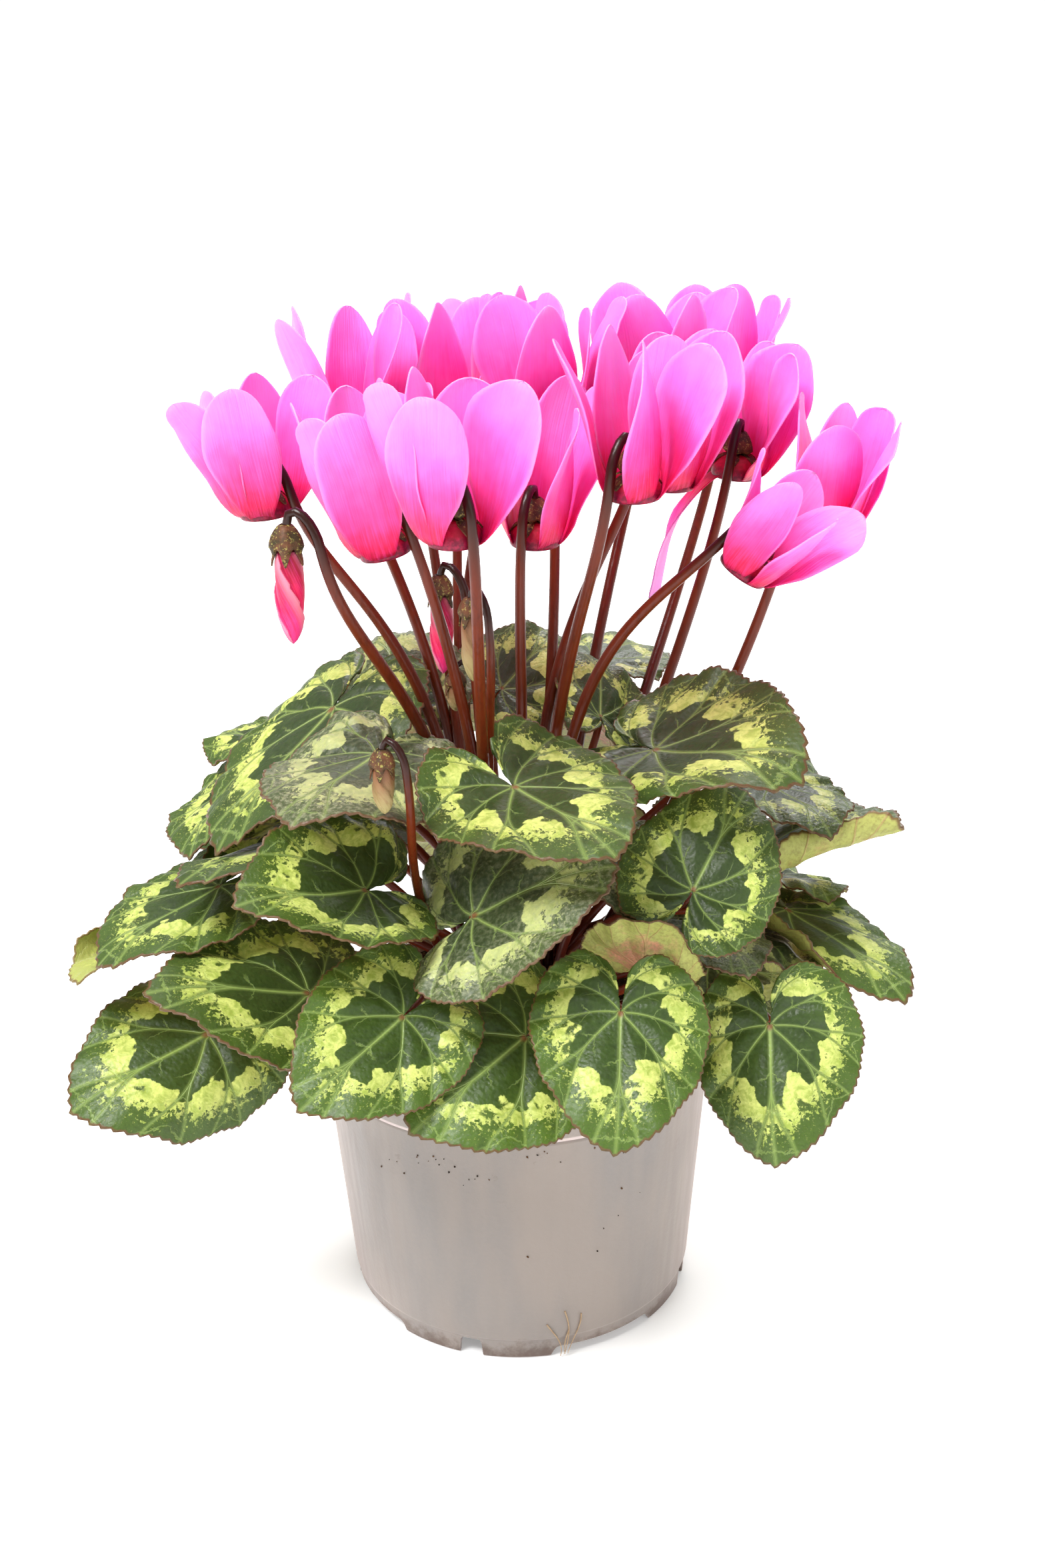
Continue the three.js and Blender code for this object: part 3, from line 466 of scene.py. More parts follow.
def vein_distance(angle, reach, length):
    """The distance off the nearest vein, in millimetres. Each vein but the midrib forks on its way out."""
    sector = angle / (2 * SLIT_ANGLE) * VEINS * (1 + VEIN_BEND * reach)
    half = np.abs(sector - np.round(sector))
    off = np.abs(half - FORK_WIDTH * smoothstep(VEIN_FORK, 1, reach))
    off = np.where(np.abs(sector) < 0.5, np.minimum(off, half), off)
    return off * (2 * SLIT_ANGLE / VEINS) * reach * length * 0.6


def leaf(number, row, sizes, materials):
    """One blade with teeth, sunk veins and puckers between them, thick enough to be a solid."""
    name, hub, tip, facing, bend, tone = row
    blade = blade_frame(hub, tip, facing)
    hub, length, along, across, out = blade
    columns = sizes.leaf_columns
    reaches = np.append(np.linspace(0.06, 0.92, sizes.leaf_rows), (0.955, 0.98, 1.0))
    angle, reach = np.meshgrid(np.linspace(-SLIT_ANGLE, SLIT_ANGLE, columns), reaches)
    angle, reach = np.append(0.0, angle), np.append(0.0, reach)
    saw = np.take((-0.5, 0.5, 0.1), np.round((angle / SLIT_ANGLE + 1) / 2 * (columns - 1)).astype(int) % 3)
    tooth = 1 + smoothstep(0.93, 1, reach) * (sizes.tooth_depth * saw + 0.012 * np.sin(11 * angle + number))
    u, v, w = blade_local(bend, length, angle, reach, tooth)
    w = w + shift_at(settled_shift(name, bend, blade), angle, reach)
    depth = vein_distance(angle, reach, length)
    w = w + sizes.vein_depth / MM * (1 - np.exp(-((depth / 2.2) ** 2))) * smoothstep(0.05, 0.4, reach)
    w = w + 0.35 * np.sin(13 * angle + 1.7 * number) * smoothstep(0.55, 1, reach)
    points = hub + np.outer(u, along) + np.outer(v, across) + np.outer(w, out)
    fan = [(0, 1 + c, 2 + c) for c in range(columns - 1)]
    r = outline_at(angle) * reach
    maps = maps_of(0.5 + angle / (2 * SLIT_ANGLE), reach,
                   r * np.cos(angle) + 3.1 * number, r * np.sin(angle) + 1.7 * number)
    shape = Shape()
    faces = fan + grid(len(reaches), columns, start=1)
    shape.add_sheet(points, faces, sizes.blade_thickness / MM, maps, tone, 1)
    piece(shape.object(name + "_blade", *materials), "leaf", name)


# Flowers

def facing_of(bearing):
    return vec(math.sin(math.radians(bearing)), -math.cos(math.radians(bearing)), 0)


def flower_frame(mouth, lean, gap):
    tilt = math.radians(lean[1])
    axis = vec(0, 0, math.cos(tilt)) + facing_of(lean[0]) * math.sin(tilt)
    side = facing_of(gap)
    side = unit(side - axis * (side @ axis))
    return vec(*mouth), side, np.cross(axis, side), axis


def at(flower, r, turn, h):
    """r out from the axis, at an angle from the stalk's side, h above the mouth. Arrays may be given."""
    origin, side, other, axis = flower
    a = np.radians(turn)
    r, a, h = np.broadcast_arrays(r, a, h)
    return (origin + np.multiply.outer(r * np.cos(a), side) + np.multiply.outer(r * np.sin(a), other)
            + np.multiply.outer(h, axis))


def petal_line(length, spread, falls):
    if falls:
        return [(5, 0, 1.2), (10, 0, -2), (17, 0, -6), (21, 0, -length)]
    return [(4.6, 0, 1.2), (8.4, 0, -3), (7.2 + spread * 0.15, 0, length * 0.45), (6 + spread, 0, length)]


def petal_ways(flower, turn):
    """The ways out from the flower, round it and along it, for a petal at this turn."""
    origin, side, other, axis = flower
    out = side * math.cos(math.radians(turn)) + other * math.sin(math.radians(turn))
    return np.array([out, np.cross(axis, out), axis])


def petal_points(flower, turn, length, spread, twist, falls, t, k, half, hollow=0.1):
    """Points of a petal at t from its root to its tip and k from one edge to the other."""
    line = petal_line(length, spread, falls)
    p = bezier(line, t)
    along = bezier(line, t + 0.01) - p
    along /= np.linalg.norm(along, axis=1, keepdims=True)
    a = (math.radians(twist) * t ** 1.1)[:, None]
    across = vec(0, 1, 0) * np.cos(a) + np.cross(along, vec(0, 1, 0)) * np.sin(a)
    out = np.cross(along, across)
    k, w = k[:, None], (half * min(1, length / 36))[:, None]
    p = p + across * k * w - out * hollow * w * (1 - k ** 2)
    return flower[0] + p @ petal_ways(flower, turn)


def petal_half_width(t):
    body = 3.2 + 7.1 * smoothstep(0.1, 0.76, t)
    return body * np.sqrt(np.maximum(1 - (np.maximum(t - 0.58, 0) / 0.42) ** 3.4, 0.0))


def find_petal(tree, flower, n, row, i):
    """The form that this petal's solid took, of all that it could try."""
    length, spread = row[4:6]
    long = length + 1.6 * math.sin(2.4 * n + 1.9 * i)
    wide = spread + 2.5 * math.cos(1.7 * n + 2.3 * i)
    twist = 52 + 16 * math.sin(n + i)
    t, k, half = np.array(SOLID_PETAL_NET).T

    def made(change):
        w, s, tw = change
        form = (PETAL_TURNS[i] + s, long, wide + w, twist + tw, i in row[8])
        points = petal_points(flower, *form, t, k, half)
        return misfit(tree, points, [SOLID_PETAL_HALF] * len(points), 1), form

    return best_of("petal %d of %s" % (i, row[0]), PETAL_TRIES, made)


def petal(shape, flower, form, seed, sizes):
    """One petal: a narrow root and a broad round end, with edges that roll and wave."""
    rows, columns = sizes.petal_rows, sizes.petal_columns
    t = np.repeat(np.sin(np.linspace(0, 1, rows) * math.pi / 2) ** 1.15, columns)
    k = np.tile(np.linspace(-1, 1, columns), rows)
    half = np.maximum(petal_half_width(t), 0.12)
    half = half * (1 + 0.09 * math.sin(3.1 * seed) * np.sin(3 * t + seed) * np.sign(k))
    half = half * (1 + 0.025 * np.sin(9 * t + seed) + 0.012 * np.sin(23 * t * np.sign(k) + 2 * seed))
    points = petal_points(flower, *form, t, k, half, 0.09 + 0.08 * math.sin(1.9 * seed))
    late = smoothstep(0.2, 0.75, t)
    edge = k * np.minimum(half / 8, 1)
    wave = (2.4 * math.sin(2.3 * seed) * edge ** 3 + 1.5 * math.cos(1.7 * seed) * edge ** 2) * late
    wave = wave + 0.8 * np.sin(5.5 * t + seed) * edge ** 2 * t
    wave = wave + 0.4 * np.sin(11 * t - seed) * np.abs(edge) ** 3 * t
    wave = wave + 1.8 * smoothstep(0.7, 1, t) * math.sin(1.3 * seed)
    wave = wave - 0.8 * np.exp(-((k / 0.3) ** 2)) * late * (1 - t)
    wave = wave + 0.1 * np.cos(k * 15) * (1 - k * k) * smoothstep(0, 0.4, t)
    wave = wave - 0.5 * (1 - np.abs(k)) * (1 - late) * t
    out, round_it = petal_ways(flower, form[0])[:2]
    points = points + np.outer(wave, out) + np.outer(1.8 * math.sin(2.9 * seed) * late * t, round_it)
    maps = maps_of(0.5 + 0.5 * k, t, k * half / 10 + seed, t * 4 + seed)
    shape.add_sheet(points, grid(rows, columns), sizes.petal_thickness / MM, maps)


def cup(shape, flower, steps=40):
    """The mouth and tube of a flower, dark inside."""
    profile = smooth_path(np.array(CUP_PROFILE, float), 3)
    a = np.arange(steps) * 360 / steps
    points, maps = [], []
    for i, (r, h) in enumerate(profile):
        value = 0.1 + 0.9 * smoothstep(1, 6, h) if i > len(profile) // 2 else 0.0
        points.append(at(flower, max(r, 0), a, h))
        maps.append(maps_of(a / 360, value, a / 36, value))
    faces = grid(len(profile), steps, closed=True)
    shape.add(np.vstack(points), faces, [1] * len(faces), np.vstack(maps))


# Finishes

def srgb(r, g, b):
    """A colour given as it looks on a screen, 0 to 255, as Blender keeps it."""
    def line(c):
        c /= 255
        return c / 12.92 if c <= 0.04045 else ((c + 0.055) / 1.055) ** 2.4
    return line(r), line(g), line(b), 1.0


class Nodes:
    """A node tree, and the nodes that are laid down in it."""

    def __init__(self, tree):
        self.tree = tree

    def put(self, socket, value):
        value = getattr(value, "socket", value)
        if isinstance(value, bpy.types.NodeSocket):
            self.tree.links.new(value, socket)
        else:
            socket.default_value = value

    def node(self, kind, inputs=(), **settings):
        """The outputs of a new node with these inputs and settings."""
        node = self.tree.nodes.new(kind)
        for name, value in settings.items():
            setattr(node, name, value)
        for key, value in dict(inputs).items():
            self.put(node.inputs[key], value)
        return node.outputs


class Value:
    """What a node of a finish gives, which plain arithmetic carries on."""

    def __init__(self, finish, socket):
        self.finish, self.socket = finish, socket

    def math(self, operation, *others):
        return self.finish.math(operation, self, *others)

    def __add__(self, other):
        return self.math("ADD", other)

    def __sub__(self, other):
        return self.math("SUBTRACT", other)

    def __mul__(self, other):
        return self.math("MULTIPLY", other)

    def __truediv__(self, other):
        return self.math("DIVIDE", other)

    def __abs__(self):
        return self.math("ABSOLUTE")

    def step(self, low, high, start=0.0, end=1.0):
        """Goes smoothly from start, where this is low, to end, where it is high."""
        inputs = {"Value": self, "From Min": low, "From Max": high, "To Min": start, "To Max": end}
        return self.finish.value("ShaderNodeMapRange", inputs, interpolation_type="SMOOTHSTEP")

    def parts(self):
        return [Value(self.finish, s) for s in self.finish.node("ShaderNodeSeparateXYZ", {0: self})]

    def scaled(self, *scale):
        return self.finish.value("ShaderNodeVectorMath", {0: self, 1: scale}, operation="MULTIPLY")


class Finish(Nodes):
    """A material on the Principled shader."""

    def __init__(self, name, roughness, specular):
        self.material = bpy.data.materials.new(name)
        self.material.use_nodes = True
        super().__init__(self.material.node_tree)
        self.shader = self.tree.nodes["Principled BSDF"]
        self.set("Roughness", roughness)
        self.set("Specular IOR Level", specular)

    def set(self, name, value):
        self.put(self.shader.inputs[name], value)

    def value(self, kind, inputs=(), output=0, **settings):
        return Value(self, self.node(kind, inputs, **settings)[output])

    def math(self, operation, *values):
        return self.value("ShaderNodeMath", enumerate(values), operation=operation)

    def mix(self, factor, a, b):
        return self.value("ShaderNodeMix", {0: factor, 6: a, 7: b}, 2, data_type="RGBA")

    def place(self):
        return self.value("ShaderNodeTexCoord", output="Object")

    def uv(self, layer):
        return self.value("ShaderNodeUVMap", uv_map=layer)

    def attribute(self, name):
        return self.value("ShaderNodeAttribute", output="Fac", attribute_name=name)

    def noise(self, vector, scale, detail=3.0, roughness=0.55, distortion=0.0):
        inputs = {"Vector": vector, "Scale": scale, "Detail": detail, "Roughness": roughness,
                  "Distortion": distortion}
        return self.value("ShaderNodeTexNoise", inputs)

    def cells(self, vector, scale, feature="F1"):
        return self.value("ShaderNodeTexVoronoi", {"Vector": vector, "Scale": scale}, feature=feature)

    def soft(self, weight, radius, scale):
        """Lets light through a little, as leaves and petals do."""
        self.set("Subsurface Weight", weight)
        self.set("Subsurface Radius", radius)
        self.set("Subsurface Scale", scale)

    def done(self, base, height, distance, strength):
        """Sets the colour and the fine relief, and gives the material."""
        self.set("Base Color", base)
        inputs = {"Height": height, "Distance": distance, "Strength": strength}
        self.set("Normal", self.node("ShaderNodeBump", inputs)[0])
        return self.material


def vein_pattern(angle, reach):
    """The sector of the blade, how far a point is from its middle, and the distance off the forking veins."""
    sector = (angle - 0.5) * float(VEINS) * (reach * VEIN_BEND + 1.0)
    half = abs(sector - sector.math("ROUND"))
    off = abs(half - reach.step(VEIN_FORK, 1.0, 0.0, FORK_WIDTH))
    off = off.math("MINIMUM", half + abs(sector).math("GREATER_THAN", 0.5))
    return sector, half, off * reach


def leaf_top_finish(c):
    """Marbled green: a dark heart, a pale ragged band, a dark margin and light veins."""
    f = Finish("leaf_top", 0.42, 0.4)
    angle, reach = f.uv("shape").parts()[:2]
    flat = f.uv("flat")
    tone = f.attribute("tone")
    sector, half, off = vein_pattern(angle, reach)
    shift = f.noise(flat, 4.4, 2.0, 0.5) - 0.5
    rag = f.noise(flat, 15.0, 5.0, 0.66, 0.7)
    speck = f.noise(flat, 60.0, 2.0, 0.6)
    mottle = f.noise(flat, 30.0, 5.0, 0.7)

    level = half.step(0.0, 0.42) * 0.1 + reach + shift * 0.62 + (rag - 0.5) * 0.12
    inner = level.step(0.63, 0.65)
    lace = rag * 0.7 + f.noise(flat, 36.0, 3.0, 0.6) * 0.4
    feather = (lace - 0.55) * 0.95 + reach - shift * 0.12
    outer = feather.step(0.75, 0.8, 1.0, 0.0)
    clear = (off - rag * 0.04).step(-0.015, 0.02, 0.1, 1.0)
    broken = (rag - 0.5) * 0.25 + f.noise(flat, 5.2, 2.0)
    band = inner * outer * clear * broken.step(0.37, 0.42, 0.04, 1.0)
    specks = speck.step(0.58, 0.64) * feather.step(0.7, 1.0, 0.8, 0.0) * inner
    band = band.math("MAXIMUM", specks)

    margin = f.mix(tone, c.margin_dark, c.margin_bright)
    green = f.mix(reach.step(0.4, 0.95), f.mix(tone, c.heart_dark, c.heart_bright), margin)
    green = f.mix(mottle.step(0.35, 0.75, 0.0, 0.5), green, margin)
    green = f.mix(f.noise(flat, 7.0, 2.0).step(0.5, 0.75, 0.0, 0.4), green, c.heart_deep)
    green = f.mix(speck.step(0.4, 0.75, 0.0, 0.35), green, c.heart_deep)
    green = f.mix(off.step(0.0, 0.04, 0.35, 0.0), green, c.vein)
    pale = f.mix(rag.step(0.32, 0.62), c.band_deep, c.band_pale)
    pale = f.mix(tone.step(0.1, 0.35, 0.5, 0.0), pale, c.dust)
    pale = f.mix(mottle.step(0.4, 0.75, 0.0, 0.4), pale, c.band_deep)
    base = f.mix(band, green, pale)

    line = (off / reach.step(0.0, 1.0, 0.014, 0.003)).math("SMOOTH_MIN", 1.0, 0.3)
    line = (line * -1.0 + 1.0).math("MAXIMUM", 0.0)
    strength = reach.step(0.5, 0.95, 1.0, 0.1) * reach.step(0.0, 0.2, 0.75, 1.0)
    line = line * strength.math("MAXIMUM", abs(sector).step(0.3, 0.5, 0.9, 0.0))
    branch = ((rag * 0.14 + reach) * 3.7 - half * 1.3).math("FRACT")
    branch = abs(branch - 0.5).step(0.012, 0.05, 0.5, 0.0)
    line = line.math("MAXIMUM", branch * half.step(0.16, 0.44, 1.0, 0.0) * reach.step(0.14, 0.3))
    base = f.mix(line * 0.7, base, c.vein)

    dust = tone.step(0.16, 0.28, 1.0, 0.0) * mottle.step(0.42, 0.66, 0.08, 0.6)
    base = f.mix(dust * reach.step(0.35, 0.75, 0.3, 1.0), base, c.dust)
    base = f.mix(tone.step(0.87, 0.89, 0.0, 0.75), base, c.under_green)
    base = f.mix(reach.step(0.012, 0.05, 0.85, 0.0), base, c.hub)
    rim = ((speck - 0.5) * 0.03 + reach).step(0.976, 0.99, 0.0, 0.75)
    f.set("Roughness", mottle.step(0.3, 0.7, 0.34, 0.52))
    f.soft(0.06, (0.001, 0.002, 0.0005), 0.5)
    relief = mottle * 0.4 + f.cells(flat, 40.0, "SMOOTH_F1") * 0.6 - line * 0.8
    return f.done(f.mix(rim, base, c.leaf_rim), relief, 0.0005, 0.55)


def leaf_under_finish(c):
    """The lower face of a leaf: pale yellow-green, flushed pink in the middle, with raised veins."""
    f = Finish("leaf_under", 0.5, 0.35)
    angle, reach = f.uv("shape").parts()[:2]
    flat = f.uv("flat")
    off = vein_pattern(angle, reach)[2]
    mottle = f.noise(flat, 26.0, 5.0, 0.7)
    pink = (f.noise(flat, 6.0, 4.0, 0.65) - 0.5) * 1.6 - reach + 1.05
    base = f.mix(pink.step(0.25, 0.75), c.under_green, c.under_pink)
    base = f.mix(mottle.step(0.4, 0.66, 0.0, 0.65), base, c.under_deep)
    line = off.step(0.003, 0.016, 0.6, 0.0)
    base = f.mix(line, base, c.under_vein)
    f.soft(0.1, (0.002, 0.001, 0.0005), 0.6)
    return f.done(f.mix(reach.step(0.97, 0.99, 0.0, 0.8), base, c.leaf_rim), line + mottle, 0.0006, 0.6)


def petal_finish(c):
    """Lilac-pink silk that deepens to a hot magenta root, with painted light at its pale rims and tip,
    painted highlights on the ridges of a rolled bud, and fine veins along it.
    """
    f = Finish("petal", 0.46, 0.3)
    across, along = f.uv("shape").parts()[:2]
    flat = f.uv("flat")
    bud = f.attribute("tone")
    veins = f.noise(flat.scaled(14.0, 0.45, 1.0), 1.6, 3.0, 0.6)
    level = along + (f.noise(flat, 1.3, 2.0) - 0.5) * 0.3 + (veins - 0.5) * 0.2
    base = f.mix(level.step(0.14, 0.34), c.petal_root, c.petal_hot)
    base = f.mix(level.step(0.3, 0.66), base, c.petal_mid)
    base = f.mix(level.step(0.55, 1.0), base, c.petal_tip)
    # Painted light: pale rims and a pale tip, as if light shone through the thin edges
    rim = abs(across * 2.0 - 1.0).step(0.86, 1.0, 0.0, 0.4) * along.step(0.3, 0.6)
    rim = rim.math("MAXIMUM", along.step(0.96, 1.0, 0.0, 0.4))
    base = f.mix(rim * bud.step(0.2, 0.4, 1.0, 0.0), base, c.petal_rim)
    base = f.mix(veins.step(0.42, 0.7, 0.0, 0.22), base, c.petal_vein)
    # Painted highlight: pale towards the swelling side of each fold of a rolled bud
    base = f.mix(across.step(0.5, 1.0, 0.0, 0.7) * bud.step(0.2, 0.4), base, c.petal_ridge)
    f.soft(0.25, (0.004, 0.0012, 0.003), 0.6)
    return f.done(base, veins, 0.0004, 0.6)


def cup_finish(c):
    """The mouth and tube of a flower: dark magenta, nearly black inside."""
    f = Finish("petal_cup", 0.45, 0.4)
    grain = f.noise(f.place(), 900.0)
    base = f.mix(f.uv("shape").parts()[1].step(0.1, 0.6), c.mouth, c.petal_root)
    return f.done(f.mix(grain.step(0.4, 0.7, 0.0, 0.3), base, c.petal_hot), grain, 0.0002, 0.5)


def stalk_finish(name, low, high, top):
    """A fleshy stalk with short fine hairs, darker where it hooks over."""
    f = Finish(name, 0.3, 0.3)
    along = f.attribute("along")
    streak = f.noise(f.place().scaled(1.0, 1.0, 0.12), 700.0)
    base = f.mix(along.step(0.1, 0.75), low, high)
    base = f.mix(along.step(0.8, 0.93), base, top)
    f.soft(0.1, (0.003, 0.001, 0.0005), 0.4)
    return f.done(f.mix(streak.step(0.45, 0.75, 0.0, 0.4), base, low), streak, 0.0003, 0.6)


def calyx_finish(c):
    """Dark brown-green with yellow-green flecks."""
    f = Finish("calyx", 0.55, 0.35)
    place = f.place()
    fleck = f.noise(place, 1400.0, 3.0, 0.7)
    base = f.mix(f.noise(place, 300.0).step(0.35, 0.65), c.calyx_dark, c.calyx_brown)
    return f.done(f.mix(fleck.step(0.56, 0.66, 0.0, 0.8), base, c.calyx_fleck), fleck, 0.0003, 0.6)


def green_bud_finish(c):
    """Young closed petals: pale green turning brown at the calyx."""
    f = Finish("green_bud", 0.5, 0.35)
    streak = f.noise(f.uv("flat").scaled(3.0, 0.6, 1.0), 2.0)
    base = f.mix(f.uv("shape").parts()[1].step(0.1, 0.7), c.bud_brown, c.bud_green)
    return f.done(f.mix(streak.step(0.45, 0.75, 0.0, 0.5), base, c.bud_brown), streak, 0.0003, 0.6)


def tuber_finish(c):
    """Rough brown cork."""
    f = Finish("tuber", 0.9, 0.2)
    place = f.place()
    rough = f.noise(place, 260.0, 5.0, 0.7)
    cracks = f.cells(place, 210.0, "DISTANCE_TO_EDGE")
    base = f.mix(rough.step(0.35, 0.68), c.tuber_dark, c.tuber_light)
    base = f.mix(cracks.step(0.0, 0.06, 0.6, 0.0), base, c.tuber_dark)
    return f.done(base, rough + cracks.step(0.0, 0.1), 0.0008, 0.8)


def pot_finish(c):
    """Thin matt grey-taupe plastic with a fine grain, faint flow lines and soil splashes, painted shade round
    its foot and under the rim's step, and a painted highlight along the lip.
    """
    f = Finish("pot_plastic", 0.42, 0.4)
    place = f.place()
    z = place.parts()[2]
    grain = f.noise(place, 900.0)
    base = f.mix(f.noise(place.scaled(1.0, 1.0, 0.25), 55.0, 3.0, 0.5).step(0.3, 0.7), c.pot_grey, c.pot_warm)
    base = f.mix(grain.step(0.35, 0.8, 0.0, 0.25), base, c.pot_warm)
    base = f.mix(z.step(0.0, 0.03, 0.35, 0.0), base, c.pot_warm)
    dirt_and_shade_noise = f.noise(place, 170.0, 4.0, 0.7)
    # Painted shade: a darker band round the foot, below the shoulder, with a ragged top edge
    base = f.mix(((dirt_and_shade_noise - 0.5) * 0.014 + z).step(0.0005, 0.006, 0.75, 0.0), base, c.pot_dirt)
    # Painted shade: a dark line under the step below the rim
    groove = abs(z - (POT_NECK_Z - 0.5) * MM)
    base = f.mix(groove.step(0.0003, 0.001, 0.35, 0.0), base, c.pot_dirt)
    # Painted highlight: a pale line along the outer edge of the step below the rim
    lip = abs(z - (POT_NECK_Z + 0.9) * MM)
    base = f.mix(lip.step(0.0003, 0.0008, 0.5, 0.0), base, c.pot_edge)
    splash = dirt_and_shade_noise.step(0.62, 0.7, 0.0, 0.35) * z.step(0.045, 0.078)
    scuff = f.noise(place.scaled(1.0, 1.0, 0.08), 420.0, 2.0)
    f.set("Roughness", scuff.step(0.3, 0.7, 0.36, 0.52))
    f.soft(0.2, (0.006, 0.005, 0.005), 0.6)
    f.set("Sheen Weight", 0.6)
    f.set("Sheen Tint", c.pot_edge)
    f.set("Sheen Roughness", 0.35)
    return f.done(f.mix(splash, base, c.pot_dirt), grain, 0.0002, 0.25)


def soil_finish(c):
    """Damp peat."""
    f = Finish("soil", 0.95, 0.15)
    place = f.place()
    lump = f.noise(place, 180.0, 6.0, 0.75)
    base = f.mix(lump.step(0.35, 0.68), c.soil_dark, c.soil_brown)
    base = f.mix(f.cells(place, 520.0).step(0.0, 0.2, 0.35, 0.0), base, c.soil_light)
    return f.done(base, lump, 0.0015, 1.0)


def crumb_finish(c):
    """Peat crumbs, each of its own brown."""
    f = Finish("soil_crumb", 0.9, 0.2)
    lump = f.noise(f.place(), 900.0)
    base = f.mix(f.attribute("tone").step(0.2, 1.0), c.soil_dark, c.soil_light)
    return f.done(f.mix(lump.step(0.4, 0.7, 0.0, 0.5), base, c.soil_brown), lump, 0.0006, 0.8)


def root_finish(c):
    """Thin dry roots."""
    f = Finish("root", 0.7, 0.3)
    f.set("Base Color", f.mix(f.noise(f.place(), 600.0), c.root_dark, c.root_pale))
    return f.material


# Geometry Nodes

class Tree(Nodes):
    """A Geometry Nodes tree, with inputs that are set by name when a modifier takes it."""

    def __init__(self, name, **defaults):
        super().__init__(bpy.data.node_groups.new(name, "GeometryNodeTree"))
        face = self.tree.interface
        face.new_socket(name="Geometry", in_out="INPUT", socket_type="NodeSocketGeometry")
        self.sockets = {}
        for label, default in {**defaults, "Material": None}.items():
            kind = {int: "Int", float: "Float"}.get(type(default), "Material")
            socket = face.new_socket(name=label, in_out="INPUT", socket_type="NodeSocket" + kind)
            if default is not None:
                socket.default_value = default
            self.sockets[label] = socket.identifier
        face.new_socket(name="Geometry", in_out="OUTPUT", socket_type="NodeSocketGeometry")
        self.inputs = self.tree.nodes.new("NodeGroupInput").outputs

    def kept(self, geometry, name, value, domain):
        """The geometry with the value kept on it for the finish."""
        return self.node("GeometryNodeStoreNamedAttribute",
                         {"Geometry": geometry, "Name": name, "Value": value},
                         data_type="FLOAT", domain=domain)[0]

    def random(self, low, high, seed, kind="FLOAT"):
        first = 2 if kind == "FLOAT" else 0
        return self.node("FunctionNodeRandomValue", {first: low, first + 1: high, "Seed": seed},
                         data_type=kind)[first // 2]

    def end(self, geometry):
        real = self.node("GeometryNodeRealizeInstances", {0: geometry})[0]
        done = self.node("GeometryNodeSetMaterial",
                         {"Geometry": real, "Material": self.inputs["Material"]})[0]
        self.put(self.tree.nodes.new("NodeGroupOutput").inputs["Geometry"], done)

    def made(self, name, source, **values):
        """The object that this tree makes of a curve or mesh."""
        obj = placed(name + "_source", source)
        modifier = obj.modifiers.new(name, "NODES")
        modifier.node_group = self.tree
        for label, value in values.items():
            modifier[self.sockets[label]] = value
        mesh = evaluated_mesh(obj)
        obj.modifiers.remove(modifier)
        bpy.data.objects.remove(obj)
        mesh.name = name
        for loose in [a for a in mesh.attributes if a.name in ("radius", "id", "tilt")]:
            mesh.attributes.remove(loose)
        return placed(name, mesh)


def stalk_tree():
    """Smooth tubes round paths, as thick as each point's radius, with how far along kept for the colour."""
    t = Tree("Cyclamen stalks", Sides=12, Spacing=0.0025)
    even = t.node("GeometryNodeResampleCurve", {"Curve": t.inputs["Geometry"], "Length": t.inputs["Spacing"]},
                  mode="LENGTH")[0]
    path = t.kept(even, "along", t.node("GeometryNodeSplineParameter")["Factor"], "POINT")
    ring = t.node("GeometryNodeCurvePrimitiveCircle", {"Resolution": t.inputs["Sides"], "Radius": 1.0})[0]
    tube = t.node("GeometryNodeCurveToMesh", {"Curve": path, "Profile Curve": ring, "Fill Caps": True,
                                              "Scale": t.node("GeometryNodeInputRadius")[0]})[0]
    t.end(t.node("GeometryNodeSetShadeSmooth", {0: tube})[0])
    return t


def crumb_tree():
    """Small lumps on every point, turned and sized at random."""
    t = Tree("Soil crumbs", Smallest=0.0004, Largest=0.0012, Seed=4)
    ball = t.node("GeometryNodeMeshIcoSphere", {"Radius": 1.0, "Subdivisions": 2})[0]
    place = t.node("GeometryNodeInputPosition")[0]
    rough = t.node("ShaderNodeTexNoise", {"Vector": place, "Scale": 1.3})[0]
    shrink = t.node("ShaderNodeMath", {0: rough, 1: -0.9}, operation="MULTIPLY")[0]
    offset = t.node("ShaderNodeVectorMath", {0: place, "Scale": shrink}, operation="SCALE")[0]
    lump = t.node("GeometryNodeSetPosition", {"Geometry": ball, "Offset": offset})[0]
    size = t.random(t.inputs["Smallest"], t.inputs["Largest"], t.inputs["Seed"])
    shape = t.random((0.6, 0.6, 0.5), (1.2, 1.2, 1.0), 3, "FLOAT_VECTOR")
    scale = t.node("ShaderNodeVectorMath", {0: shape, "Scale": size}, operation="SCALE")[0]
    turn = t.random((0.0, 0.0, 0.0), (6.28, 6.28, 6.28), 5, "FLOAT_VECTOR")
    crumbs = t.node("GeometryNodeInstanceOnPoints", {"Points": t.inputs["Geometry"], "Instance": lump,
                                                     "Rotation": turn, "Scale": scale})[0]
    t.end(t.kept(crumbs, "tone", t.random(0.0, 1.0, 9), "INSTANCE"))
    return t


def tubes(name, paths, sides, spacing, material):
    """Tubes along paths, each a pair of points and radii in millimetres."""
    curve = bpy.data.curves.new(name, "CURVE")
    curve.dimensions = "3D"
    for points, radii in paths:
        spline = curve.splines.new("POLY")
        spline.points.add(len(points) - 1)
        for point, p, r in zip(spline.points, points, radii):
            point.co = (*(p * MM), 1)
            point.radius = r * MM
    return stalk_tree().made(name, curve, Sides=sides, Spacing=spacing, Material=material)


def crumbs(name, points, smallest, largest, seed, material):
    mesh = bpy.data.meshes.new(name + "_points")
    mesh.from_pydata([tuple(p * MM) for p in points], [], [])
    return crumb_tree().made(name, mesh, Smallest=smallest, Largest=largest, Seed=seed, Material=material)


# Crown: stalks, calyxes, green buds and the tuber

def bud_size(r):
    return r / 4.6 + 0.1


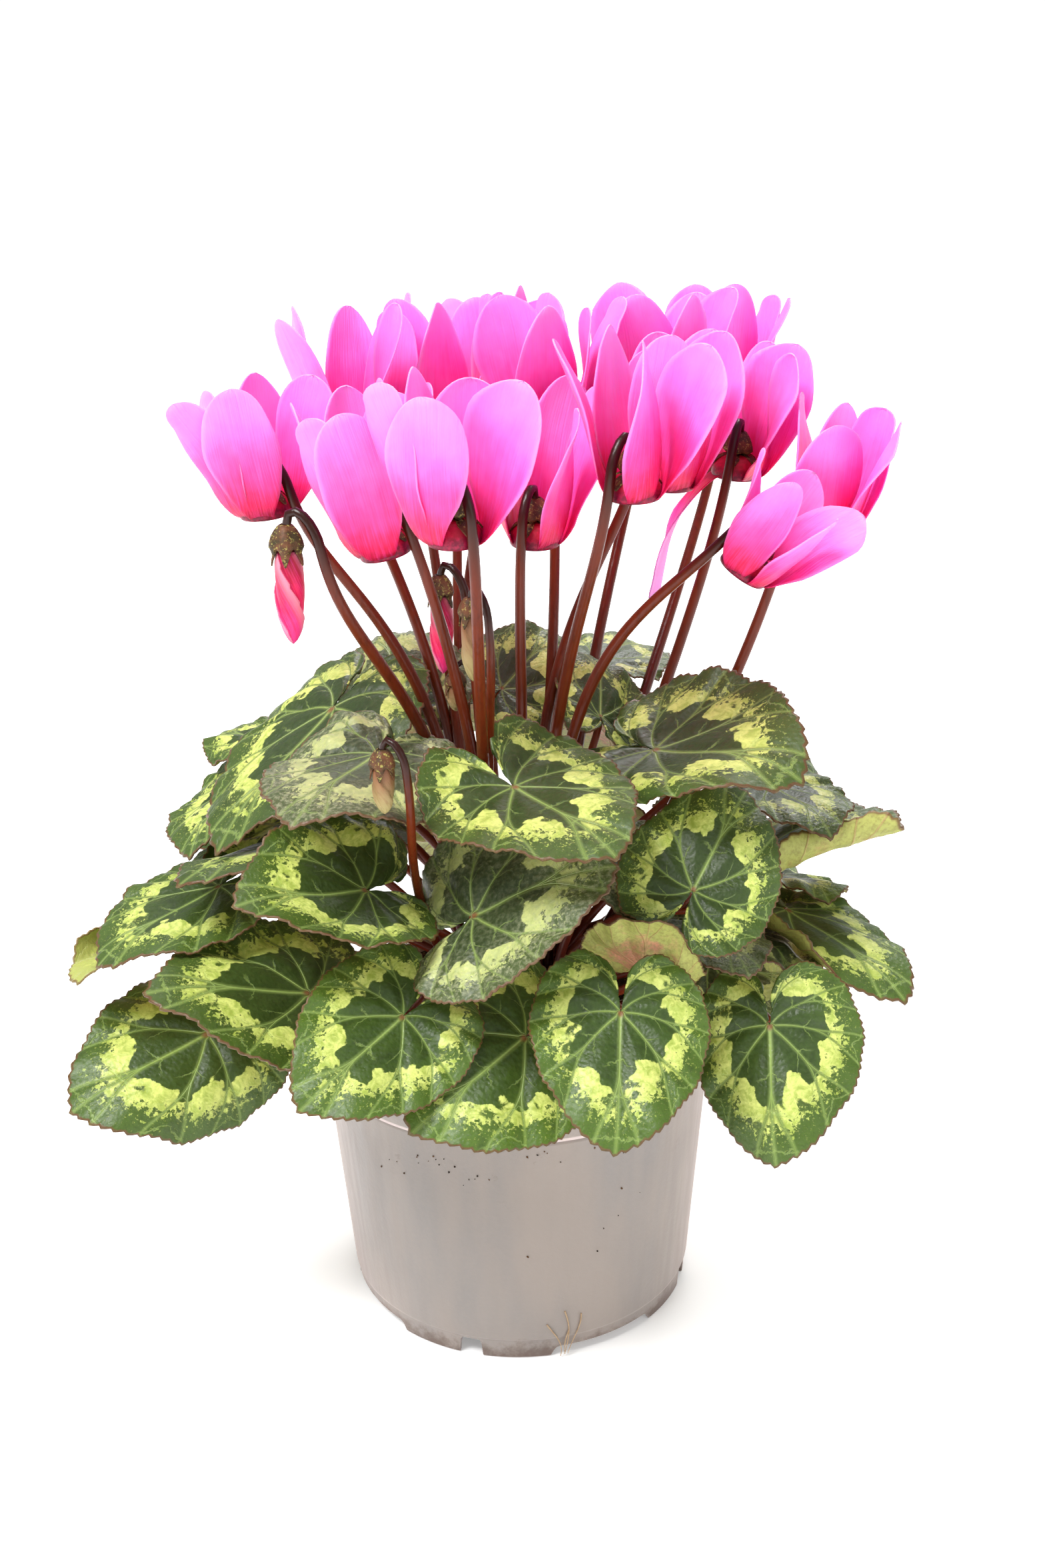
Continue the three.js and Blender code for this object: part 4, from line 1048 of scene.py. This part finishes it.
def find_stalk(n, tree, flower, foot, by, size):
    """The path that this flower's stalk took past its neighbours, up into its hook."""
    tail = [at(flower, r * size, 0, h * size) for r, h in HOOK]
    start = vec(*foot, STALK_FOOT_Z)
    radii = (STALK_FOOT_R + (STALK_TOP_R - STALK_FOOT_R) * np.arange(1, 5) / 10) * size

    def made(aside):
        path = bezier([start, vec(*by) + aside, tail[0]], np.arange(5) / 5)
        return misfit(tree, path[1:], radii, 4), np.vstack([path, tail])

    return best_of("flower stalk %d" % n, STALK_TRIES, made)


def find_petiole(n, tree, row, seat):
    """The line that this leaf's stalk took past its neighbours, to under its blade."""
    hub, length, along, across, out = blade_frame(*row[1:4])

    def made(change):
        swing, lift, under = change
        bearing = math.atan2(hub[1], hub[0]) + math.radians(swing)
        start = vec(math.cos(bearing), math.sin(bearing), 0) * (7 + (n % 4) * 2.5) + vec(0, 0, PETIOLE_FOOT_Z)
        lifted = start + vec(0, 0, max(14, lift * (hub[2] - start[2])))
        line = [start, lifted, hub - out * under - along * 9, hub + out * (seat - 2.2) - along * 0.5]
        return misfit(tree, bezier(line, np.arange(1, 5) / 5), [PETIOLE_R * 1.15] * 4, 3), line

    line = best_of("the stalk of " + row[0], PETIOLE_TRIES, made)
    return line[:3] + [hub + out * (seat - 0.35) - along * 0.5]


def eased(path):
    """The stalk's path drawn smooth, so that it sweeps up into its hook. The hook's top and the foot stay."""
    path = smooth_path(path, 6)
    free = len(path) - 18
    weight = np.zeros((len(path), 1))
    weight[:free, 0] = np.sin(np.linspace(0, math.pi, free)) ** 0.5
    for _ in range(60):
        path[1:-1] += 0.5 * weight[1:-1] * (path[:-2] + path[2:] - 2 * path[1:-1])
    return path


def calyx(shape, flower, size, under):
    """A small ribbed cap with five pointed sepals that lie on what is under it."""
    rows, steps = 8, 50
    a = turns(steps)
    lobe = (0.5 + 0.5 * np.cos(5 * a)) ** 0.8
    points, maps = [], []
    for r, h in CALYX_DOME:
        points.append(at(flower, r * (1 + 0.06 * np.cos(5 * a)) * size, np.degrees(a), h * size))
        maps.append(maps_of(a, h, a, h))
    brim_r, brim_h = 3.95, 7.5
    for t in np.arange(1, rows + 1) / rows:
        h = brim_h + (7.3 - 4.4 * lobe - brim_h) * t
        r = brim_r + (under(h) + 0.4 + 0.15 * t * lobe - brim_r) * smoothstep(0, 0.6, t)
        narrow = (a - np.round(a / (0.4 * math.pi)) * 0.4 * math.pi) * (0.5 * t * lobe)
        points.append(at(flower, r * size, np.degrees(a - narrow), h * size))
        maps.append(maps_of(a, h, a, h))
    faces = grid(len(points), steps, closed=True)
    shape.add_sheet(np.vstack(points), faces, 0.4 * size, np.vstack(maps))


def on_cup(h):
    rows = CUP_PROFILE[5:]
    return np.interp(h, [p[1] for p in rows], [p[0] for p in rows])


def on_bud(length, r, top):
    """The radius of a bud, in the calyx's own size, at a height of the calyx."""
    size = bud_size(r)
    return lambda h: np.interp((top - h) * size / length, *BUD_WIDTHS) * r * 1.05 / size


def bud_body(shape, flower, length, r, top, seed):
    """Five petals rolled into a pointed bud."""
    rows, steps = 26, 40
    a = turns(steps)
    points, maps = [], []
    for t in np.linspace(0, 1, rows):
        fold = (a * 3 / (2 * math.pi) - 1.5 * t) % 1
        bulge = 1 + 0.26 * (fold ** 0.7 - 0.6) * smoothstep(0, 0.2, t)
        width = r * np.interp(t, *BUD_WIDTHS)
        points.append(at(flower, width * bulge, np.degrees(a), top * bud_size(r) - t * length))
        maps.append(maps_of(fold, 0.1 + 0.42 * t, fold * 0.8 + seed, t * 3))
    ends = [tuple(range(steps)), tuple(reversed(range((rows - 1) * steps, rows * steps)))]
    faces = grid(rows, steps, closed=True) + ends
    shape.add(np.vstack(points), faces, [0] * len(faces), np.vstack(maps), 0.5)


def tuber_body(shape):
    steps = 96
    a = turns(steps)
    rows = []
    for r, h in smooth_path(np.array(TUBER_PROFILE, float), 4):
        ring = np.stack([r * np.cos(a), r * np.sin(a), np.full(steps, h)], 1)
        for p in ring:
            p[:2] *= 1 + 0.03 * noise.noise(Vector(p / 5.0)) + 0.015 * noise.noise(Vector(p / 1.7))
            p[2] += 0.5 * noise.noise(Vector(p / 4.0 + 7.0)) * (1 if 0.1 < r < 19 else 0)
        rows.append(ring)
    points = np.vstack(rows)
    points[:steps] = points[:steps].mean(axis=0)
    points[-steps:] = points[-steps:].mean(axis=0)
    faces = grid(len(rows), steps, closed=True)
    shape.add(points, faces, [0] * len(faces), np.tile(points[:, :2] / 10, 2))


# Pot and soil

def pot_profile():
    """The wall from under the middle, out and up round the rim, and back down inside to the floor."""
    foot_in = POT_FOOT_R - POT_WALL
    shoulder_in = POT_SHOULDER_R - POT_WALL
    neck_in = POT_NECK_R - POT_WALL
    under = (
        (0, 0), (10, 0), (POT_PAD_R - 0.6, 0), (POT_PAD_R, 0.3), (POT_PAD_R + 0.7, POT_FLOOR_UNDER - 0.5),
        (POT_PAD_R + 1.6, POT_FLOOR_UNDER), (34, POT_FLOOR_UNDER), (foot_in - 0.5, POT_FLOOR_UNDER),
        (foot_in, POT_FLOOR_UNDER - 0.5), (foot_in, 0.3), (foot_in + 0.3, 0), (POT_FOOT_R - 0.4, 0),
    )
    outside = (
        (POT_FOOT_R, 0.4), (POT_FOOT_R + 0.4, POT_SHOULDER_Z - 0.9), (POT_FOOT_R + 0.5, POT_SHOULDER_Z - 0.3),
        (POT_SHOULDER_R - 0.1, POT_SHOULDER_Z), (POT_SHOULDER_R + 0.05, POT_SHOULDER_Z + 0.5),
        (52.0, 24.0), (53.4, 40.5), (54.8, 57.5), (POT_NECK_R - 0.05, POT_NECK_Z - 0.5),
        (POT_NECK_R + 0.1, POT_NECK_Z), (POT_NECK_R + 0.9, POT_NECK_Z + 0.35),
        (POT_NECK_R + 1.2, POT_NECK_Z + 0.9), (58.6, 79), (POT_RIM_R - 0.1, POT_HEIGHT - 1.2),
    )
    rim = (
        (POT_RIM_R, POT_HEIGHT - 0.7), (POT_RIM_R - 0.1, POT_HEIGHT - 0.2), (POT_RIM_R - 0.5, POT_HEIGHT),
        (POT_RIM_R - 1.1, POT_HEIGHT - 0.1), (POT_RIM_R - POT_WALL, POT_HEIGHT - 0.5),
    )
    inside = (
        (57.4, 79), (neck_in + 0.6, POT_NECK_Z + 0.4), (neck_in, POT_NECK_Z - 0.6),
        (shoulder_in, POT_FLOOR_TOP + 1), (shoulder_in - 0.9, POT_FLOOR_TOP), (30, POT_FLOOR_TOP),
        (0, POT_FLOOR_TOP),
    )
    return under + outside + rim + inside


def lathe(name, profile, steps):
    """A turned body about the middle, its poles closed."""
    corners, faces, rings = [], [], []
    for r, z in profile:
        if r == 0:
            rings.append([len(corners)] * steps)
            corners.append((0, 0, z * MM))
            continue
        rings.append(list(range(len(corners), len(corners) + steps)))
        corners += [(r * math.cos(a) * MM, r * math.sin(a) * MM, z * MM) for a in turns(steps)]
    for low, high in zip(rings, rings[1:]):
        for j in range(steps):
            k = (j + 1) % steps
            faces.append(tuple(dict.fromkeys([low[j], low[k], high[k], high[j]])))
    mesh = bpy.data.meshes.new(name)
    mesh.from_pydata(corners, [], faces)
    return placed(name, mesh)


def cutter(outline, bearing, start, end):
    """A bar with this outline that is pushed through the wall at a bearing."""
    n = len(outline)
    turn = Matrix.Rotation(math.radians(bearing), 4, "Z")
    corners = [tuple(turn @ Vector((x, -y, z)) * MM) for y in (start, end) for x, z in outline]
    faces = [tuple(range(n)), tuple(range(2 * n - 1, n - 1, -1))]
    faces += [(i, i + n, (i + 1) % n + n, (i + 1) % n) for i in range(n)]
    mesh = bpy.data.meshes.new("cutter")
    mesh.from_pydata(corners, [], faces)
    return merged(placed("cutter", mesh))


def cut_out(obj, cutters):
    """Takes the cutters out of the object."""
    group = bpy.data.collections.new("cutters")
    for c in cutters:
        group.objects.link(c)
    modifier = obj.modifiers.new("cut", "BOOLEAN")
    modifier.operand_type = "COLLECTION"
    modifier.collection = group
    modifier.solver = "EXACT"
    mesh = evaluated_mesh(obj)
    obj.modifiers.clear()
    obj.data = mesh
    for c in cutters:
        bpy.data.objects.remove(c)
    bpy.data.collections.remove(group)


def soil_surface(material):
    """The top of the soil, lumpy, between the tuber and the pot's wall, closed below."""
    rows, steps = 26, 180
    inner, outer = TUBER_R - 1.5, POT_NECK_R + 0.4
    points = []
    for t in np.arange(rows) / (rows - 1):
        r = inner + (outer - inner) * t
        for a in turns(steps):
            p = Vector((r * math.cos(a), r * math.sin(a), 0))
            lump = noise.noise(p / 6) * 1.2 + noise.noise(p / 2.2) * 0.9 + noise.noise(p / 0.9) * 0.5
            points.append((p.x, p.y, SOIL_TOP + 1.2 + (1 - t) + lump * min(1, (1 - t) * 8)))
    points = np.array(points)
    shape = Shape()
    shape.add_sheet(points, grid(rows, steps, closed=True), 1.0, np.tile(points[:, :2] / 10, 2))
    return shape.object("soil_top", material)


def scattered(rng, count, low, high, height):
    """Points at random between two radii, near a height."""
    out = []
    for _ in range(count):
        r = math.sqrt(rng.uniform(low * low, high * high))
        a = rng.uniform(0, 2 * math.pi)
        out.append(vec(r * math.cos(a), r * math.sin(a), height + rng.uniform(-0.4, 0.5)))
    return out


def on_wall(bearing, z, proud):
    """A point on the outside of the pot's wall, or a little proud of it."""
    r = np.interp(z, (POT_SHOULDER_Z, POT_NECK_Z, POT_NECK_Z + 0.6, POT_HEIGHT),
                  (POT_SHOULDER_R, POT_NECK_R, POT_NECK_R + 1, POT_RIM_R)) + proud
    return facing_of(bearing) * r + vec(0, 0, z)


# Settings

def length_prop(name, description, default):
    return bpy.props.FloatProperty(name=name, description=description, default=default, min=0.0,
                                   unit="LENGTH", subtype="DISTANCE", precision=5)


def count_prop(name, description, default):
    return bpy.props.IntProperty(name=name, description=description, default=default, min=2)


def colour_prop(key, description, r, g, b):
    return bpy.props.FloatVectorProperty(name=key.replace("_", " ").capitalize(), description=description,
                                         default=srgb(r, g, b), size=4, min=0.0, max=1.0, subtype="COLOR")


class CyclamenSizes(bpy.types.PropertyGroup):
    """Sizes of the fine pieces."""
    blade_thickness: length_prop("Blade thickness", "Thickness of a leaf blade", 0.0005)
    vein_depth: length_prop("Vein depth", "How far the blade rises between its veins", 0.0009)
    tooth_depth: bpy.props.FloatProperty(name="Tooth depth", description="Depth of the teeth of the blade's "
                                         "margin, as a share of its length", default=0.022, min=0.0,
                                         subtype="FACTOR")
    leaf_columns: count_prop("Leaf columns", "Points round the margin of a blade", 214)
    leaf_rows: count_prop("Leaf rows", "Rings of points on a blade inside its margin", 13)
    petal_thickness: length_prop("Petal thickness", "Thickness of a petal", 0.00035)
    petal_rows: count_prop("Petal rows", "Points along a petal", 24)
    petal_columns: count_prop("Petal columns", "Points across a petal", 15)
    stalk_sides: count_prop("Stalk sides", "Sides of a flower stalk", 12)
    pot_steps: count_prop("Pot steps", "Steps round the pot", 192)
    crumb_smallest: length_prop("Smallest crumb", "Radius of the smallest soil crumb", 0.0005)
    crumb_largest: length_prop("Largest crumb", "Radius of the largest soil crumb", 0.0016)
    crumb_count: count_prop("Crumbs", "Soil crumbs on the soil's surface", 900)


COLOURS = (
    ("heart_dark", "Middle of the darkest leaves", 36, 48, 22),
    ("heart_deep", "Darkest clouds of a blade", 28, 40, 16),
    ("heart_bright", "Middle of the brightest leaves", 52, 74, 20),
    ("margin_dark", "Margin of the darkest leaves", 48, 62, 26),
    ("margin_bright", "Margin of the brightest leaves", 80, 108, 32),
    ("band_deep", "Deeper parts of the pale band", 148, 166, 70),
    ("band_pale", "Palest parts of the band", 204, 212, 118),
    ("vein", "Veins on the upper face", 156, 180, 96),
    ("hub", "Where the leaf stalk meets the blade", 120, 62, 40),
    ("leaf_rim", "The very edge of a blade", 104, 62, 42),
    ("dust", "Grey film on old leaves", 158, 160, 128),
    ("under_green", "Lower face of a blade", 178, 182, 98),
    ("under_deep", "Darker mottling of the lower face", 140, 132, 72),
    ("under_pink", "Flush of the lower face", 206, 140, 112),
    ("under_vein", "Veins of the lower face", 176, 142, 96),
    ("petal_tip", "Outer part of a petal", 250, 136, 224),
    ("petal_mid", "Middle of a petal", 248, 76, 164),
    ("petal_hot", "Lower part of a petal", 234, 22, 84),
    ("petal_root", "Root of a petal", 164, 4, 44),
    # Painted light glowing through a petal's edges and tip
    ("petal_rim", "Edges of a petal", 252, 170, 242),
    # Painted highlight on the ridges of a rolled bud
    ("petal_ridge", "Pale ridges of a rolled bud", 252, 158, 178),
    ("petal_vein", "Fine lines along a petal", 244, 92, 196),
    ("mouth", "Inside of the flower's mouth", 104, 0, 40),
    ("stalk_low", "Foot of a flower stalk", 50, 11, 3),
    ("stalk_high", "Upper part of a flower stalk", 106, 36, 10),
    ("stalk_hook", "Hook of a flower stalk", 40, 14, 6),
    ("petiole_low", "Foot of a leaf stalk", 72, 20, 10),
    ("petiole_high", "Upper part of a leaf stalk", 116, 46, 24),
    ("calyx_dark", "Darkest parts of a calyx", 54, 44, 20),
    ("calyx_brown", "Browner parts of a calyx", 104, 62, 36),
    ("calyx_fleck", "Flecks of a calyx", 172, 164, 84),
    ("bud_green", "Tips of the young buds", 196, 188, 128),
    ("bud_brown", "Bases of the young buds", 126, 78, 50),
    ("tuber_dark", "Cracks of the tuber", 44, 30, 22),
    ("tuber_light", "Cork of the tuber", 112, 84, 62),
    ("pot_grey", "Plastic of the pot", 135, 130, 127),
    ("pot_warm", "Warmer parts of the pot", 151, 140, 132),
    # Tints the pot's sheen, and is also painted as a highlight along the pot's lip
    ("pot_edge", "Sheen at the pot's edges", 244, 224, 222),
    # Also painted as shade round the pot's foot and under the step below its rim
    ("pot_dirt", "Dirt on the pot", 88, 66, 54),
    ("soil_dark", "Darkest peat", 30, 20, 14),
    ("soil_brown", "Brown peat", 66, 44, 30),
    ("soil_light", "Light fibres of the peat", 116, 84, 58),
    ("root_dark", "Darker parts of a root", 140, 108, 78),
    ("root_pale", "Paler parts of a root", 206, 180, 146),
)


class CyclamenColours(bpy.types.PropertyGroup):
    """Colours of the finishes."""
    __annotations__ = {row[0]: colour_prop(*row) for row in COLOURS}


# Operators

class CYCLAMEN_OT_leaves(bpy.types.Operator):
    """Makes the marbled leaf blades"""
    bl_idname = "cyclamen.leaves"
    bl_label = "Make Leaves"

    def execute(self, context):
        colours = context.scene.cyclamen_colours
        materials = [leaf_top_finish(colours), leaf_under_finish(colours)]
        for number, row in enumerate(LEAVES):
            leaf(number, row, context.scene.cyclamen_sizes, materials)
        return {"FINISHED"}


class CYCLAMEN_OT_flowers(bpy.types.Operator):
    """Makes the open flowers and the pink buds"""
    bl_idname = "cyclamen.flowers"
    bl_label = "Make Flowers"

    def execute(self, context):
        sizes, colours = context.scene.cyclamen_sizes, context.scene.cyclamen_colours
        materials = [petal_finish(colours), cup_finish(colours)]
        shapes = {}
        for n, row in enumerate(BLOOMS):
            flower = flower_frame(*row[1:4])
            tree = tree_of(row[0])
            shapes[row[0]] = shape = Shape()
            cup(shape, flower)
            for i in range(len(PETAL_TURNS)):
                form = find_petal(tree, flower, n, row, i)
                petal(shape, flower, form, 1.3 * n + 2.1 * i, sizes)
        for n, (name, mouth, lean, side, length, r, foot, by, own) in enumerate(BUDS):
            if own:
                shapes[name] = Shape()
                bud_body(shapes[name], flower_frame(mouth, lean, side), length, r, PINK_BUD_TOP, 3.0 * n)
        for name, shape in shapes.items():
            piece(merged(shape.object(name + "_petals", *materials)), "petal", name)
        return {"FINISHED"}


class CYCLAMEN_OT_crown(bpy.types.Operator):
    """Makes the tuber, the flower stalks, the leaf stalks, the calyxes and the green buds"""
    bl_idname = "cyclamen.crown"
    bl_label = "Make Crown"

    def execute(self, context):
        sizes, colours = context.scene.cyclamen_sizes, context.scene.cyclamen_colours
        tree = tree_of("crown")
        stems, petioles = [], []
        caps, buds, tuber = Shape(), Shape(), Shape()
        tuber_body(tuber)
        rows = [(row[1:4], row[6:8], 1.0, on_cup) for row in BLOOMS]
        for n, (name, *frame_row, length, r, foot, by, own) in enumerate(BUDS):
            top = PINK_BUD_TOP if own else GREEN_BUD_TOP
            rows.append((frame_row, (foot, by), bud_size(r), on_bud(length, r, top)))
            if not own:
                bud_body(buds, flower_frame(*frame_row), length, r, top, 2.0 * n)
        for n, (frame_row, (foot, by), size, under) in enumerate(rows):
            flower = flower_frame(*frame_row)
            path = eased(find_stalk(n, tree, flower, foot, by, size))
            radii = np.interp(np.linspace(0, 1, len(path)), (0, 0.7, 1), (1.75, 1.3, 1.05)) * size
            stems.append((path, radii))
            calyx(caps, flower, size, under)
        for n, row in enumerate(LEAVES):
            seat = settled_shift(row[0], row[4], blade_frame(*row[1:4]))[0].mean()
            along = np.linspace(0, 1, 30)
            path = bezier(find_petiole(n, tree, row, seat), along)
            petioles.append((path, np.interp(along, (0, 0.85, 1), (1.4, 1.1, 0.95))))
        c = colours
        stalk = stalk_finish("flower_stalk", c.stalk_low, c.stalk_high, c.stalk_hook)
        petiole = stalk_finish("leaf_stalk", c.petiole_low, c.petiole_high, c.petiole_high)
        for obj in (tubes("flower_stalks", stems, sizes.stalk_sides, 0.0022, stalk),
                    tubes("leaf_stalks", petioles, 10, 0.0025, petiole),
                    caps.object("calyxes", calyx_finish(c)),
                    merged(buds.object("green_buds", green_bud_finish(c))),
                    merged(tuber.object("tuber", tuber_finish(c)))):
            piece(obj, "crown", "crown")
        return {"FINISHED"}


class CYCLAMEN_OT_pot(bpy.types.Operator):
    """Makes the pot with its openings, the specks of soil and the roots on it"""
    bl_idname = "cyclamen.pot"
    bl_label = "Make Pot"

    def execute(self, context):
        colours = context.scene.cyclamen_colours
        pot = lathe("pot_shell", pot_profile(), context.scene.cyclamen_sizes.pot_steps)
        cutters = [cutter(ARCH, b, 40, 56) for b in ARCH_BEARINGS]
        cutters += [cutter(DRAIN, b, 42, 56) for b in DRAIN_BEARINGS]
        cut_out(pot, cutters)
        merged(pot)
        pot.data.polygons.foreach_set("use_smooth", [True] * len(pot.data.polygons))
        pot.data.set_sharp_from_angle(angle=SHARP_ANGLE)
        pot.data.materials.clear()
        pot.data.materials.append(pot_finish(colours))
        piece(pot, "pot_plastic", "pot")

        rng = random.Random(11)
        specks = []
        for bearing, z, spread, count in SPECKS:
            for _ in range(count):
                at_bearing = bearing + rng.gauss(0, spread)
                specks.append(on_wall(at_bearing, min(73, z + rng.gauss(0, spread * 0.5)), 0.1))
        piece(crumbs("pot_specks", specks, 0.0002, 0.0006, 6, crumb_finish(colours)), "soil")
        roots = []
        for bearing, top, fall, drift in ROOTS:
            line = np.array([on_wall(bearing + drift * math.sin(2.6 * t + top), top - fall * t, 0.3)
                             for t in np.arange(15) / 14])
            line[:, 2] = np.maximum(line[:, 2], 0.35)
            roots.append((line, np.linspace(0.22, 0.1, len(line))))
        piece(tubes("hanging_roots", roots, 6, 0.001, root_finish(colours)), "soil")
        return {"FINISHED"}


class CYCLAMEN_OT_soil(bpy.types.Operator):
    """Makes the lumpy top of the soil and its crumbs"""
    bl_idname = "cyclamen.soil"
    bl_label = "Make Soil"

    def execute(self, context):
        sizes, colours = context.scene.cyclamen_sizes, context.scene.cyclamen_colours
        finish = soil_finish(colours)
        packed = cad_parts["soil"].data.materials
        packed.clear()
        packed.append(finish)
        piece(soil_surface(finish), "soil")
        points = scattered(random.Random(5), sizes.crumb_count, TUBER_R + 1, POT_NECK_R - 0.8, SOIL_TOP + 2.0)
        peat = crumb_finish(colours)
        piece(crumbs("soil_crumbs", points, sizes.crumb_smallest, sizes.crumb_largest, 4, peat), "soil")
        return {"FINISHED"}


class CYCLAMEN_OT_stage(bpy.types.Operator):
    """Sets the camera, the pale floor and the soft studio light"""
    bl_idname = "cyclamen.stage"
    bl_label = "Set Stage"

    def execute(self, context):
        scene = context.scene
        back = Vector((math.sin(CAMERA_YAW) * math.cos(CAMERA_DOWN),
                       math.cos(CAMERA_YAW) * math.cos(CAMERA_DOWN), -math.sin(CAMERA_DOWN))).normalized()
        right = back.cross(Vector((0, 0, 1))).normalized()
        up = right.cross(back)
        c, s = math.cos(CAMERA_ROLL), math.sin(CAMERA_ROLL)
        turn = Matrix((right * c + up * s, up * c - right * s, -back)).transposed().to_4x4()
        data = bpy.data.cameras.new("camera")
        data.lens = CAMERA_LENS
        data.sensor_width = 36.0
        data.clip_start = 0.01
        camera = placed("camera", data)
        camera.matrix_world = Matrix.Translation(Vector((0, -CAMERA_BACK, CAMERA_HEIGHT)) * MM) @ turn
        scene.camera = camera

        mesh = bpy.data.meshes.new("floor")
        mesh.from_pydata([(-6, -6, 0), (6, -6, 0), (6, 6, 0), (-6, 6, 0)], [], [(0, 1, 2, 3)])
        floor = placed("floor", mesh)
        paint = Finish("floor_paint", 0.8, 0.2)
        paint.set("Base Color", (0.9, 0.9, 0.9, 1.0))
        # Painted light: the floor glows, faintly near the pot and fully far from it
        paint.set("Emission Color", WHITE)
        far = paint.value("ShaderNodeVectorMath", {0: paint.place()}, "Value", operation="LENGTH")
        paint.set("Emission Strength", far.step(0.12, 0.7, 0.25, 1.0))
        mesh.materials.append(paint.material)

        world = bpy.data.worlds.new("studio")
        world.use_nodes = True
        studio = Nodes(world.node_tree)
        background = world.node_tree.nodes["Background"].inputs
        seen = studio.node("ShaderNodeLightPath")["Is Camera Ray"]
        studio.put(background["Color"], WHITE)
        studio.put(background["Strength"],
                   studio.node("ShaderNodeMapRange", {"Value": seen, "To Min": 0.5, "To Max": 1.05})[0])
        scene.world = world
        for name, place, aim, size, power in LIGHTS:
            light = bpy.data.lights.new(name, "AREA")
            light.size = size
            light.energy = power
            turn = (Vector((0, 0, aim)) - Vector(place)).to_track_quat("-Z", "Y").to_matrix().to_4x4()
            placed(name, light).matrix_world = Matrix.Translation(place) @ turn
        scene.view_settings.view_transform = "Standard"
        return {"FINISHED"}


OPERATORS = (CYCLAMEN_OT_leaves, CYCLAMEN_OT_flowers, CYCLAMEN_OT_crown, CYCLAMEN_OT_pot, CYCLAMEN_OT_soil,
             CYCLAMEN_OT_stage)


class CYCLAMEN_PT_panel(bpy.types.Panel):
    """Lists the settings and the pieces that can be made"""
    bl_idname = "CYCLAMEN_PT_panel"
    bl_label = "Potted Cyclamen"
    bl_space_type = "VIEW_3D"
    bl_region_type = "UI"
    bl_category = "Cyclamen"

    def draw(self, context):
        for operator in OPERATORS:
            self.layout.operator(operator.bl_idname)
        for group in (context.scene.cyclamen_sizes, context.scene.cyclamen_colours):
            box = self.layout.box()
            for name in group.__annotations__:
                box.prop(group, name)


CLASSES = (CyclamenSizes, CyclamenColours) + OPERATORS + (CYCLAMEN_PT_panel,)


def register():
    for cls in CLASSES:
        bpy.utils.register_class(cls)
    bpy.types.Scene.cyclamen_sizes = bpy.props.PointerProperty(type=CyclamenSizes)
    bpy.types.Scene.cyclamen_colours = bpy.props.PointerProperty(type=CyclamenColours)


def unregister():
    del bpy.types.Scene.cyclamen_colours
    del bpy.types.Scene.cyclamen_sizes
    for cls in reversed(CLASSES):
        bpy.utils.unregister_class(cls)


def main():
    register()
    bpy.ops.cyclamen.stage()
    bpy.ops.cyclamen.pot()
    bpy.ops.cyclamen.soil()
    bpy.ops.cyclamen.crown()
    bpy.ops.cyclamen.flowers()
    bpy.ops.cyclamen.leaves()


if __name__ == "__main__":
    main()
